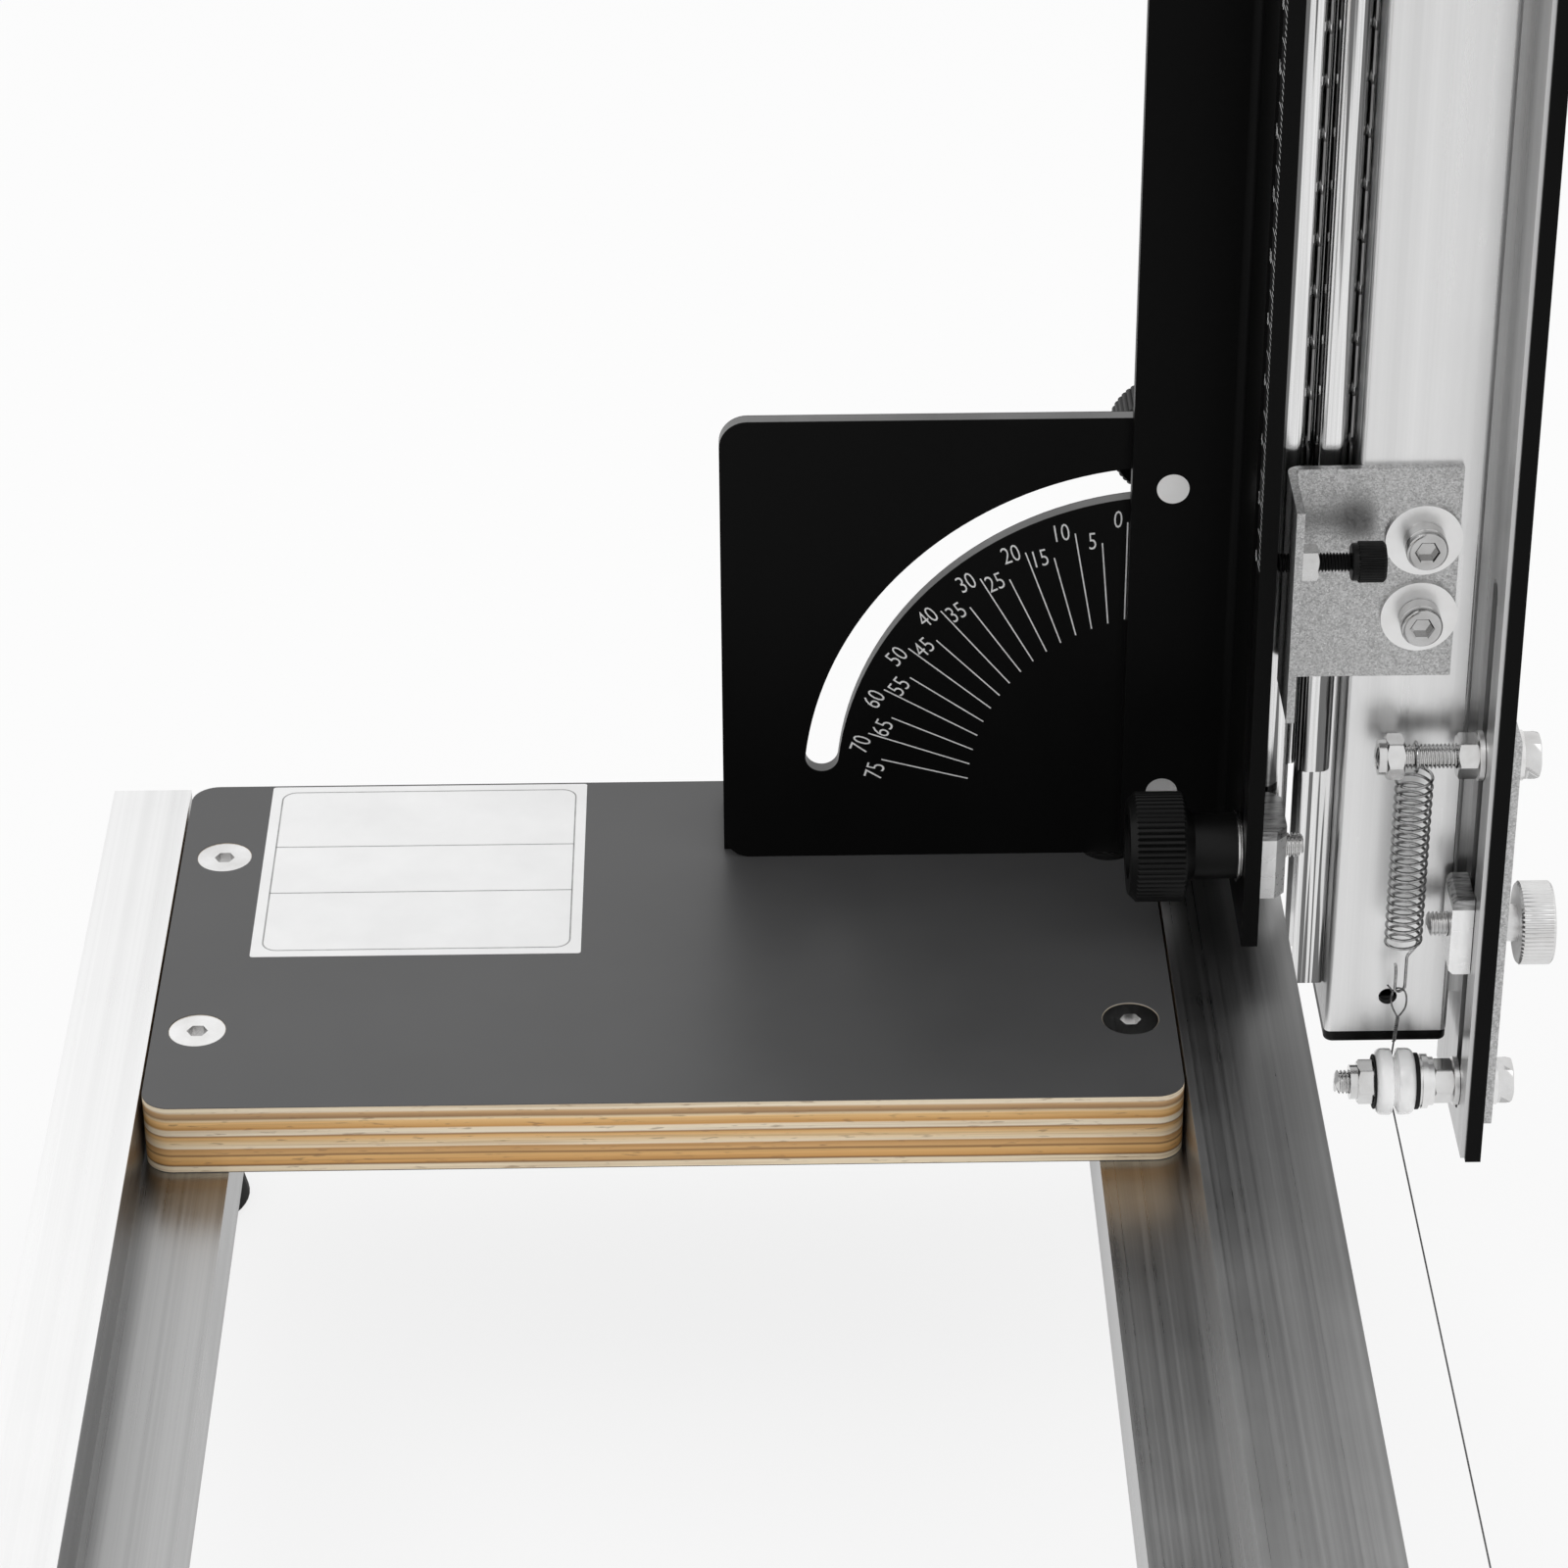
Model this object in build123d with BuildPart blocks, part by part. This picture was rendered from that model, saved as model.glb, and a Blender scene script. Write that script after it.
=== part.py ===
from build123d import *
import os
from math import acos, cos, pi, radians, sin, sqrt

os.makedirs("parts", exist_ok=True)

# Hot wire cutter for foam boards. Sizes are in millimetres.
# Working frame: x across the bench, y along the rails, z up from the boards' top faces.
# x = 0 is midway between the rails and y = 0 is the front edge of the far board.
# The near end mirrors the far end. At the end every piece moves to the centre of the footprint.

# Bench
rail_length = 1200.0
board_width = 320.0
board_depth = 191.0
board_thickness = 24.0
board_corner = 9.0
rail_gap = 1.0            # between a board's side and the rail wall beside it
rail_height = 49.0
rail_drop = 1.0           # rail tops lie this far below the boards' tops
rail_wall = 2.4
left_rail_width = 26.0
right_rail_width = 39.5
ledge_width = 27.0
screw_inset_x = 14.0
screw_rows = (43.0, 146.0)
countersunk_radius = 8.8
countersunk_height = 4.8
socket_depth = 3.0
socket_radius = 2.9
socket_recess = 0.3
board_screw_length = 34.0

# Cross beams and feet
beam_width = 40.0
beam_height = 60.0
beam_wall = 4.0
beam_inset = 1.0          # from the ends of the rails
foot_height = 45.0        # from the cross beam's lower edge to the ground
foot_radius = 21.0
foot_pad = 16.0
foot_inset = 17.0         # from the rail's outer side
foot_stem_radius = 5.0
foot_nut_height = 8.0
foot_nut_flats = 17.0

# Protractor plates
plate_thickness = 5.0
plate_front = 142.0
plate_left = 19.2
plate_width = 170.0
plate_height = 160.0
plate_corner = 9.0
plate_foot = 40.0
plate_bend = 3.0
plate_screw_radius = 2.5
plate_screw_head = 2.0
plate_screw_depth = 15.0
plate_screw_inset = (25.0, 60.0)
pivot_x = 162.3
pivot_z = 26.2
arc_radius = 111.4
arc_degrees = 84.0
arc_lead = 4.0            # degrees of slot past the upright position
arc_slot = 10.8

# Studs, screws and nuts
stud_radius = 5.15
thread_radius = 4.0       # M8
bolt_clearance = 0.3
press_clearance = 0.02
running_clearance = 0.05
sliding_gap = 0.2
nut_flats = 13.0
nut_height = 6.5
bolt_head = 5.3
washer_radius = 12.0
washer_thickness = 1.6
small_washer_radius = 8.0

# Masts
mast_thickness = 5.2
mast_width = 39.5
mast_lead = 28.5          # of the mast flange ahead of the slides
mast_left = 149.3
mast_bottom = 4.5
mast_height = 425.5
mast_inner_radius = 3.0

# Black knurled knobs
knob_radius = 17.6
knob_head = 17.8
knob_neck_radius = 10.5
knob_neck = 16.4
knob_shoulder = 3.0
knob_chamfer = 2.4
knob_dish = 1.5
knob_flutes = 56
flute_depth = 0.6

# Depth stops
stop_setback = 14.5       # slot centre behind the mast flange's front edge
stop_z = 33.5
stop_slot_top = 340.0
stop_block = (8.0, 24.6, 24.6)
stop_block_chamfer = 3.4
stop_washer_radius = 11.5
stop_thread_out = 6.6

# Telescopic slides: an outer channel with an inner channel in it, twice, back to back
slide_width = 35.0
slide_channel = 10.8
slide_wall = 1.4
slide_lip = 3.0
slide_bend = 3.5
slide_gap = 1.0
slide_back = 1.8          # behind the slides, to the back of the mast flange
ball_radius = 2.0
ball_inset = 5.8          # from the outer channel's web to the ball centres
ball_clearance = 0.1
balls_per_row = 3
cage_wall = 0.7
cage_band = 5.0
tab_pitch = 17.0
tab_gap = 3.0
outer_slide_z = (10.0, 410.0)
middle_slide_z = (52.0, 402.0)
inner_slide_z = (-32.0, 368.0)
outer_cage_z = (160.0, 330.0)
inner_cage_z = (155.0, 320.0)

# Bow: two arms joined by a beam
arm_size = 40.0
arm_wall = 2.5
arm_corner = 2.0
arm_lead = 5.5            # of the arms ahead of the slides
arm_bottom = -43.8
arm_top = 440.0
cap_thickness = 4.0
cap_plug = 12.0
arm_hole_radius = 3.0
arm_hole_up = 13.5
corner_leg = 40.0
corner_wall = 4.0
small_thread_radius = 3.0  # M6
small_head_radius = 5.2
small_head = 3.3
cap_corner = 3.0

# Stop brackets and lock screws
bracket_wall = 2.5
bracket_gap = 4.2         # between the mast and the bracket
bracket_width = 54.4
bracket_depth = 31.5
bracket_bottom = 91.6
bracket_height = 72.8
bracket_bend = 1.5
bracket_screw_z = (113.4, 140.2)
bracket_screw_in = 43.2   # from the bracket's left side
cap_screw_radius = 6.5
cap_screw_head = 8.0
cap_screw_length = 16.0
cap_socket_radius = 3.0
lock_setback = 17.0       # of the lock screw ahead of the arm's front
lock_z = 140.0
lock_radius = 3.0         # M6
lock_nut_flats = 10.0
lock_nut = 6.4
lock_reach = 19.1         # from the bracket's left side to the head
lock_head = 10.5
lock_head_radius = 6.4
lock_flutes = 18
lock_flute_depth = 0.6
lock_chamfer = 1.0

# Wire plates and carriages
wire_plate_thickness = 5.0
wire_plate_lead = 29.5    # of the wire plates ahead of the arms
wire_plate_depth = 62.0
wire_plate_bottom = -76.0
wire_plate_top = 420.0
wire_plate_corner = 12.0
liner_thickness = 1.5
liner_margin = 1.0
packing_thickness = 2.9
packing_setback = 2.0     # of the packing bar from the arm's front and back faces
packing_bottom = -30.0
packing_top = 410.0
plate_bolt_z = (0.0, 200.0, 400.0)
wire_slot_setback = 18.0
wire_slot_bottom = -66.0
wire_slot_top = 130.0
strip_thickness = 4.0
strip_width = 18.0
strip_bottom = -68.0
strip_top = 77.0
strip_corner = 2.0
hook_bolt_z = 67.4
hook_bolt_out = 34.1      # from the liner to the bolt's tip
roller_z = -56.0
roller_bolt_out = 40.4
clamp_z = 5.0
clamp_block = (7.0, 17.0, 28.0)
clamp_chamfer = 1.5
clamp_thread_out = 14.1
silver_radius = 13.5
silver_head = 11.0
silver_neck_radius = 6.0
silver_neck = 4.0
silver_chamfer = 0.9
silver_flutes = 30
silver_flute_depth = 0.7
lock_nut_height = 8.0     # nuts with a nylon ring in a round collar
lock_nut_hex = 0.7        # share of the height that is hexagonal
lock_nut_collar = 5.7
nut_setback = 1.0         # of the outer nut from the hook bolt's tip
roller_out = 27.3         # from the liner to the roller's left side
roller_width = 12.9
roller_radius = 11.0
roller_edge = 1.5
groove_at = 6.3           # from the roller's left side
groove_floor = 1.0
groove_width = 2.6
groove_radius = 8.2
wire_radius = 0.3
spring_radius = 6.2
spring_wire = 0.5
spring_top = 60.6
spring_bottom = -3.6
spring_hook_z = -20.5
hook_half = 1.8

# Grip on the beam
grip_span = 120.0
grip_rise = 38.0
grip_radius = 9.0
grip_bend = 20.0
grip_screw_depth = 12.0

# What follows from the sizes above
rail_side = board_width / 2 + rail_gap
ledge_edge = rail_side - ledge_width
rail_bottom = -rail_drop - rail_height
beam_bottom = rail_bottom - beam_height
ground = beam_bottom - foot_height
beam_y = board_depth - beam_inset - beam_width / 2
middle_y = board_depth - rail_length / 2
middle = Plane(origin=(0, middle_y, 0), z_dir=(0, 1, 0))
mast_back = plate_front - sliding_gap
slide_front = mast_back - slide_back - slide_width
mast_front = slide_front - mast_lead
web_front = mast_back - mast_thickness
mast_right = mast_left + mast_width
flange_left = mast_right - mast_thickness
stop_y = mast_front + stop_setback
slide_y = slide_front + slide_width / 2
slide_race = slide_width / 2 - slide_wall - 2 * (ball_radius + ball_clearance)
slide_pitch = slide_channel + slide_gap + slide_wall
arm_front = slide_front - arm_lead
arm_left = mast_right + 2 * slide_pitch
arm_right = arm_left + arm_size
arm_x = arm_left + arm_size / 2
arm_y = arm_front + arm_size / 2
bracket_left = mast_right + bracket_gap
bracket_screw_x = bracket_left + bracket_screw_in
lock_y = arm_front - lock_setback
lock_head_x = bracket_left + lock_reach
wire_plate_front = arm_front - wire_plate_lead
wire_y = wire_plate_front + wire_slot_setback
liner_left = arm_right + packing_thickness
wire_plate_left = liner_left + liner_thickness
roller_left = liner_left - roller_out
strip_left = wire_plate_left + wire_plate_thickness + sliding_gap
strip_right = strip_left + strip_thickness
wire_x = roller_left + groove_at
hook_bolt_tip = liner_left - hook_bolt_out
roller_bolt_tip = liner_left - roller_bolt_out
clamp_thread_tip = liner_left - clamp_thread_out


def toward_back(x, y, z):
    """A plane across an axis that points along +y: local x is x."""
    return Plane(origin=(x, y, z), x_dir=(1, 0, 0), z_dir=(0, 1, 0))


def toward_right(x, y, z):
    """A plane across an axis that points along +x: local x is y."""
    return Plane(origin=(x, y, z), x_dir=(0, 1, 0), z_dir=(1, 0, 0))


def toward_left(x, y, z):
    """A plane across an axis that points along -x: local x is y."""
    return Plane(origin=(x, y, z), x_dir=(0, 1, 0), z_dir=(-1, 0, 0))


def turned(plane, *outline):
    """A turned piece about the plane's normal, from (radius, distance along it) points."""
    section = Plane(origin=plane.origin, x_dir=plane.x_dir, z_dir=plane.x_dir.cross(plane.z_dir))
    with BuildSketch(section) as profile:
        with BuildLine():
            Polyline(*outline, close=True)
        make_face()
    revolve(profile.sketch, axis=Axis(plane.origin, plane.z_dir))


def ring(plane, radius, bore, length):
    """A washer or bush that stands on the plane."""
    with BuildSketch(plane) as face:
        Circle(radius)
        Circle(bore, mode=Mode.SUBTRACT)
    extrude(face.sketch, amount=length)


def hex_nut(plane, flats, bore, length):
    """A hexagonal nut that stands on the plane, its corners broken at both ends."""
    broken = flats * 0.54
    rim = (broken - flats / 2) * 0.6
    with BuildPart(mode=Mode.PRIVATE) as nut:
        turned(
            plane, (bore, 0), (flats / 2, 0), (broken + rim, rim * 2), (broken + rim, length - rim * 2),
            (flats / 2, length), (bore, length),
        )
        with BuildSketch(plane) as face:
            RegularPolygon(flats / 2, 6, major_radius=False)
        extrude(face.sketch, amount=length, mode=Mode.INTERSECT)
    add(nut.part)


def knurled(plane, radius, length, flutes, depth, chamfered):
    """A knurled head that stands on the plane: a chamfered disc with V grooves along its rim."""
    eased = chamfered * 0.4
    turned(
        plane, (0, 0), (radius - eased, 0), (radius, eased), (radius, length - chamfered),
        (radius - chamfered, length), (0, length),
    )
    with BuildSketch(plane) as rim:
        with PolarLocations(radius, flutes):
            Rectangle(depth * sqrt(2), depth * sqrt(2), rotation=45)
    extrude(rim.sketch, amount=length, mode=Mode.SUBTRACT)


def black_knob(plane, bore_depth):
    """A black knob whose neck stands on the plane, with a threaded insert's hole up its neck."""
    top = knob_neck + knob_head
    with BuildPart(mode=Mode.PRIVATE) as body:
        knurled(plane.offset(knob_neck), knob_radius, knob_head, knob_flutes, flute_depth, knob_chamfer)
        turned(
            plane, (0, 0), (knob_neck_radius, 0), (knob_neck_radius, knob_neck - knob_shoulder),
            (knob_neck_radius + knob_shoulder, knob_neck), (0, knob_neck),
        )
        with BuildSketch(plane.offset(top - knob_dish)) as dish:
            Circle(knob_neck_radius)
        extrude(dish.sketch, amount=knob_dish, mode=Mode.SUBTRACT)
        with BuildSketch(plane) as bore:
            Circle(thread_radius + running_clearance)
        extrude(bore.sketch, amount=bore_depth, mode=Mode.SUBTRACT)
    return body.part


def near(y):
    """The place along the rails that mirrors y at the near end."""
    return 2 * middle_y - y


pieces = {}               # node name to finished piece
paired = {}               # pieces of the far end that the near end repeats as nodes of their own

# Rails: a tall chamber outside and a low one under the ledge that carries the boards
screw_x = board_width / 2 - screw_inset_x
beam_bolt_x = rail_side - ledge_width / 2
rail_plane = Plane(origin=(0, board_depth, 0), x_dir=(1, 0, 0), z_dir=(0, -1, 0))
for name, side, width in (("rail_left", -1, left_rail_width), ("rail_right", 1, right_rail_width)):
    with BuildPart() as rail:
        with BuildSketch(rail_plane):
            with BuildLine():
                Polyline(
                    (side * (rail_side + width), rail_bottom), (side * (rail_side + width), -rail_drop),
                    (side * rail_side, -rail_drop), (side * rail_side, -board_thickness),
                    (side * ledge_edge, -board_thickness), (side * ledge_edge, rail_bottom), close=True,
                )
            make_face()
            offset(amount=-rail_wall, kind=Kind.INTERSECTION, mode=Mode.SUBTRACT)
            with Locations((side * (rail_side + rail_wall / 2), (rail_bottom - board_thickness) / 2)):
                Rectangle(rail_wall, -board_thickness - rail_bottom)
        extrude(amount=rail_length)
        with Locations([(side * screw_x, y, -board_thickness) for y in screw_rows]):
            Cylinder(thread_radius + press_clearance, 3 * rail_wall, mode=Mode.SUBTRACT)
        with Locations((side * beam_bolt_x, beam_y, rail_bottom)):
            Cylinder(thread_radius + press_clearance, 3 * rail_wall, mode=Mode.SUBTRACT)
        with Locations([(side * screw_x, near(y), -board_thickness) for y in screw_rows]):
            Cylinder(thread_radius + press_clearance, 3 * rail_wall, mode=Mode.SUBTRACT)
        with Locations((side * beam_bolt_x, near(beam_y), rail_bottom)):
            Cylinder(thread_radius + press_clearance, 3 * rail_wall, mode=Mode.SUBTRACT)
    pieces[name] = rail

# Boards of plywood on the ledges
screw_points = [(x, y, 0) for x in (-screw_x, screw_x) for y in screw_rows]
plate_screw_x = (plate_left + plate_screw_inset[0], plate_left + plate_width - plate_screw_inset[1])
plate_screw_y = plate_front + plate_thickness + plate_foot / 2
with BuildPart() as board:
    with BuildSketch():
        with Locations((0, board_depth / 2)):
            RectangleRounded(board_width, board_depth, board_corner)
    extrude(amount=-board_thickness)
    with Locations(screw_points):
        CounterSinkHole(thread_radius + bolt_clearance, countersunk_radius + bolt_clearance)
    with Locations([(x, plate_screw_y, 0) for x in plate_screw_x]):
        Hole(plate_screw_radius + press_clearance, depth=plate_screw_depth + 1)
paired["board"] = board

with BuildPart() as board_screw:
    head = -socket_recess
    turned(
        Plane.XY, (0, head), (countersunk_radius, head), (thread_radius, head - countersunk_height),
        (thread_radius, -board_screw_length), (0, -board_screw_length),
    )
    with BuildSketch(Plane.XY.offset(head)):
        RegularPolygon(socket_radius, 6, major_radius=False)
    extrude(amount=-socket_depth, mode=Mode.SUBTRACT)
with BuildPart() as board_screws:
    with Locations(screw_points):
        add(board_screw)
    mirror(about=middle)
pieces["board_screws"] = board_screws

# Protractor plates: an upright plate with a foot behind, the pivot's bore and the arc slot
plate_right = plate_left + plate_width
with BuildPart() as protractor:
    with BuildSketch(Plane.XZ.offset(-plate_front)):
        with Locations((plate_left + plate_width / 2, plate_height / 2)):
            Rectangle(plate_width, plate_height)
        fillet(vertices().group_by(Axis.Z)[-1], plate_corner)
        with Locations((pivot_x, pivot_z)):
            Circle(stud_radius + running_clearance, mode=Mode.SUBTRACT)
        with BuildLine():
            for radius in (arc_radius - arc_slot / 2, arc_radius + arc_slot / 2):
                CenterArc((pivot_x, pivot_z), radius, 90 - arc_lead, arc_degrees + arc_lead)
            for angle, turn in ((90 - arc_lead, 180), (90 + arc_degrees, 0)):
                end_x = pivot_x + arc_radius * cos(radians(angle))
                end_z = pivot_z + arc_radius * sin(radians(angle))
                CenterArc((end_x, end_z), arc_slot / 2, angle + turn, 180)
        make_face(mode=Mode.SUBTRACT)
    extrude(amount=-plate_thickness)
    with BuildSketch(Plane.XY):
        with Locations(((plate_left + plate_right) / 2, plate_front + plate_thickness + plate_foot / 2)):
            Rectangle(plate_width, plate_foot)
            fillet(vertices().group_by(Axis.Y)[-1], plate_corner)
    extrude(amount=plate_thickness)
    inner_bend = (plate_left, plate_front + plate_thickness, plate_thickness)
    fillet(edges().filter_by(Axis.X).sort_by_distance(inner_bend)[0], plate_bend)
    with Locations([(x, plate_screw_y, plate_thickness) for x in plate_screw_x]):
        Hole(plate_screw_radius + bolt_clearance, depth=plate_thickness)
paired["protractor"] = protractor

with BuildPart() as plate_screw:
    turned(
        Plane.XY.offset(plate_thickness), (0, plate_screw_head), (plate_screw_radius, plate_screw_head),
        (2 * plate_screw_radius, 0), (plate_screw_radius, 0),
        (plate_screw_radius, -plate_thickness - plate_screw_depth), (0, -plate_thickness - plate_screw_depth),
    )
with BuildPart() as plate_screws:
    with Locations([(x, plate_screw_y, 0) for x in plate_screw_x]):
        add(plate_screw)
    mirror(about=middle)
pieces["plate_screws"] = plate_screws

# Cross beams: channels open below, bolted under the rails
beam_left = -rail_side - left_rail_width
beam_right = rail_side + right_rail_width
foot_x = (beam_left + foot_inset, beam_right - foot_inset)
with BuildPart() as cross_beam:
    with BuildSketch(Plane(origin=(beam_left, beam_y, rail_bottom), x_dir=(0, 1, 0), z_dir=(1, 0, 0))):
        with Locations((0, -beam_height / 2)):
            Rectangle(beam_width, beam_height)
        with Locations((0, -(beam_height + beam_wall) / 2)):
            Rectangle(beam_width - 2 * beam_wall, beam_height - beam_wall, mode=Mode.SUBTRACT)
    extrude(amount=beam_right - beam_left)
    with Locations([(side * beam_bolt_x, beam_y, rail_bottom) for side in (-1, 1)]):
        Hole(thread_radius + bolt_clearance, depth=beam_wall)
    with Locations([(x, beam_y, rail_bottom) for x in foot_x]):
        Hole(foot_stem_radius + press_clearance, depth=beam_wall)
paired["cross_beam"] = cross_beam

with BuildPart() as beam_bolt:
    below = Plane.XY.offset(rail_bottom - beam_wall - bolt_head)
    hex_nut(below, nut_flats, 0, bolt_head)
    with BuildSketch(below):
        Circle(thread_radius)
    extrude(amount=bolt_head + beam_wall + rail_wall + nut_height)
with BuildPart() as beam_bolts:
    with Locations([(side * beam_bolt_x, beam_y, 0) for side in (-1, 1)]):
        add(beam_bolt)
    mirror(about=middle)
pieces["beam_bolts"] = beam_bolts

# Levelling feet: a rubber pad on a threaded stem, with its nut under the beam's web
with BuildPart() as foot_pad_piece:
    turned(
        Plane.XY.offset(ground), (0, 0), (foot_radius - 1.5, 0), (foot_radius, 1.5),
        (foot_radius - 2, foot_pad * 0.6), (foot_stem_radius + 5, foot_pad), (0, foot_pad),
    )
with BuildPart() as foot_pads:
    with Locations([(x, beam_y, 0) for x in foot_x]):
        add(foot_pad_piece)
    mirror(about=middle)
pieces["foot_pads"] = foot_pads

with BuildPart() as foot_stem:
    for z in (rail_bottom - beam_wall - foot_nut_height, ground + foot_pad):
        with BuildSketch(Plane.XY.offset(z)):
            RegularPolygon(foot_nut_flats / 2, 6, major_radius=False)
        extrude(amount=foot_nut_height)
    with BuildSketch(Plane.XY.offset(ground + foot_pad)):
        Circle(foot_stem_radius)
    extrude(amount=rail_bottom - press_clearance - ground - foot_pad)
with BuildPart() as foot_stems:
    with Locations([(x, beam_y, 0) for x in foot_x]):
        add(foot_stem)
    mirror(about=middle)
pieces["foot_stems"] = foot_stems

# Masts: an L section with the stud holes in its web and the depth stop's slot in its flange
plate_back = plate_front + plate_thickness
stud_points = (pivot_z, pivot_z + arc_radius)
stop_slot_width = 2 * (thread_radius + bolt_clearance)
stop_slot_bottom = stop_z - stop_slot_width / 2
with BuildPart() as mast:
    with BuildSketch(Plane.XY.offset(mast_bottom)):
        with BuildLine():
            Polyline(
                (mast_left, mast_back), (mast_right, mast_back), (mast_right, mast_front),
                (flange_left, mast_front), (flange_left, web_front), (mast_left, web_front), close=True,
            )
        make_face()
        fillet(vertices().sort_by_distance((flange_left, web_front, mast_bottom))[0], mast_inner_radius)
    extrude(amount=mast_height)
    with BuildSketch(toward_back(0, web_front, 0)):
        with Locations([(pivot_x, -z) for z in stud_points]):
            Circle(stud_radius + press_clearance)
    extrude(amount=mast_thickness, mode=Mode.SUBTRACT)
    with BuildSketch(toward_right(flange_left, stop_y, 0)):
        with Locations((0, (stop_slot_bottom + stop_slot_top) / 2)):
            SlotOverall(stop_slot_top - stop_slot_bottom, stop_slot_width, rotation=90)
    extrude(amount=mast_thickness, mode=Mode.SUBTRACT)
paired["mast"] = mast

# Studs through web and plate: the pivot with a lock nut, the clamp stud with a knob
stud_shoulder = mast_thickness + sliding_gap + plate_thickness + sliding_gap
stud_washer_y = web_front + stud_shoulder
clamp_thread = knob_neck + 4
with BuildPart() as mast_studs:
    for z, thread in ((stud_points[0], nut_height + 2), (stud_points[1], sliding_gap + clamp_thread)):
        turned(
            toward_back(pivot_x, web_front, z), (0, 0), (stud_radius, 0), (stud_radius, stud_shoulder),
            (thread_radius, stud_shoulder), (thread_radius, stud_shoulder + washer_thickness + thread),
            (0, stud_shoulder + washer_thickness + thread),
        )
    mirror(about=middle)
pieces["mast_studs"] = mast_studs

with BuildPart() as stud_washers:
    for z in stud_points:
        ring(
            toward_back(pivot_x, stud_washer_y, z), washer_radius, thread_radius + press_clearance,
            washer_thickness,
        )
    mirror(about=middle)
pieces["stud_washers"] = stud_washers

with BuildPart() as pivot_nuts:
    hex_nut(
        toward_back(pivot_x, stud_washer_y + washer_thickness, pivot_z), nut_flats,
        thread_radius + press_clearance, nut_height,
    )
    mirror(about=middle)
pieces["pivot_nuts"] = pivot_nuts

mitre_knob_y = stud_washer_y + washer_thickness + sliding_gap
with BuildPart() as mitre_knob:
    add(black_knob(toward_back(pivot_x, mitre_knob_y, stud_points[1]), clamp_thread + 1))
paired["mitre_knob"] = mitre_knob

# Depth stops: a block on the flange's right side, drawn up by a knob on its left
block_x = mast_right + sliding_gap
with BuildPart() as stop_block_piece:
    with BuildSketch(toward_right(block_x, stop_y, stop_z)):
        Rectangle(stop_block[1], stop_block[2])
        Circle(thread_radius + running_clearance, mode=Mode.SUBTRACT)
    extrude(amount=stop_block[0])
    outer_face = faces().sort_by(Axis.X)[-1]
    chamfer(outer_face.edges().filter_by(Axis.Z), stop_block_chamfer)
paired["stop_block"] = stop_block_piece

washer_x = flange_left - sliding_gap - washer_thickness
stop_knob_x = washer_x - press_clearance
with BuildPart() as stop_knob:
    add(black_knob(toward_left(stop_knob_x, stop_y, stop_z), knob_neck))
paired["stop_knob"] = stop_knob

with BuildPart() as stop_screw:
    with BuildSketch(toward_right(stop_knob_x - knob_neck + 1, stop_y, stop_z)):
        Circle(thread_radius)
    extrude(amount=block_x + stop_block[0] + stop_thread_out - stop_knob_x + knob_neck - 1)
    ring(
        toward_right(washer_x, stop_y, stop_z), stop_washer_radius, thread_radius + press_clearance,
        washer_thickness,
    )
paired["stop_screw"] = stop_screw

# Telescopic slides. Each stage is an inner channel that runs on balls in an outer channel.


def outer_channel(web_x):
    """The outline of a channel open to the right, with rounded backs and returned lips."""
    with BuildSketch(mode=Mode.PRIVATE) as outline:
        with Locations((web_x + slide_channel / 2, slide_y)):
            RectangleRounded(slide_channel, slide_width, slide_bend)
            RectangleRounded(
                slide_channel - 2 * slide_wall, slide_width - 2 * slide_wall, slide_bend - slide_wall,
                mode=Mode.SUBTRACT,
            )
            with Locations((slide_channel / 2, 0)):
                Rectangle(3 * slide_wall, slide_width - 2 * (slide_wall + slide_lip), mode=Mode.SUBTRACT)
    return outline.sketch


def inner_channel(web_x):
    """The outline of the channel that runs inside the one whose web is at web_x."""
    tip = web_x + 2 * slide_wall
    back = web_x + slide_pitch
    with BuildSketch(mode=Mode.PRIVATE) as outline:
        with Locations(((tip + back) / 2, slide_y)):
            Rectangle(back - tip, 2 * slide_race)
        fillet(outline.vertices().group_by(Axis.X)[-1], slide_wall)
        with Locations(((tip + back) / 2 - slide_wall, slide_y)):
            Rectangle(back - tip, 2 * (slide_race - slide_wall), mode=Mode.SUBTRACT)
    return outline.sketch


def stretch(outline, span):
    """Extrude a cross-section between two heights."""
    extrude(outline.moved(Location((0, 0, span[0]))), amount=span[1] - span[0])


middle_web = mast_right + slide_pitch
with BuildPart() as slide_outers:
    stretch(outer_channel(mast_right), outer_slide_z)
    mirror(about=middle)
pieces["slide_outers"] = slide_outers

with BuildPart() as slide_middles:
    stretch(inner_channel(mast_right), middle_slide_z)
    stretch(outer_channel(middle_web), middle_slide_z)
    mirror(about=middle)
pieces["slide_middles"] = slide_middles

with BuildPart() as slide_inners:
    stretch(inner_channel(middle_web), inner_slide_z)
    mirror(about=middle)
pieces["slide_inners"] = slide_inners

# Ball cages: folded strips between the channels, tabbed along their visible edge
lip_inside = slide_width / 2 - slide_wall - slide_lip
cage_leg = (slide_race + lip_inside) / 2
ball_y = (slide_race + slide_width / 2 - slide_wall) / 2
cage_hole = ball_radius * 0.9


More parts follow.
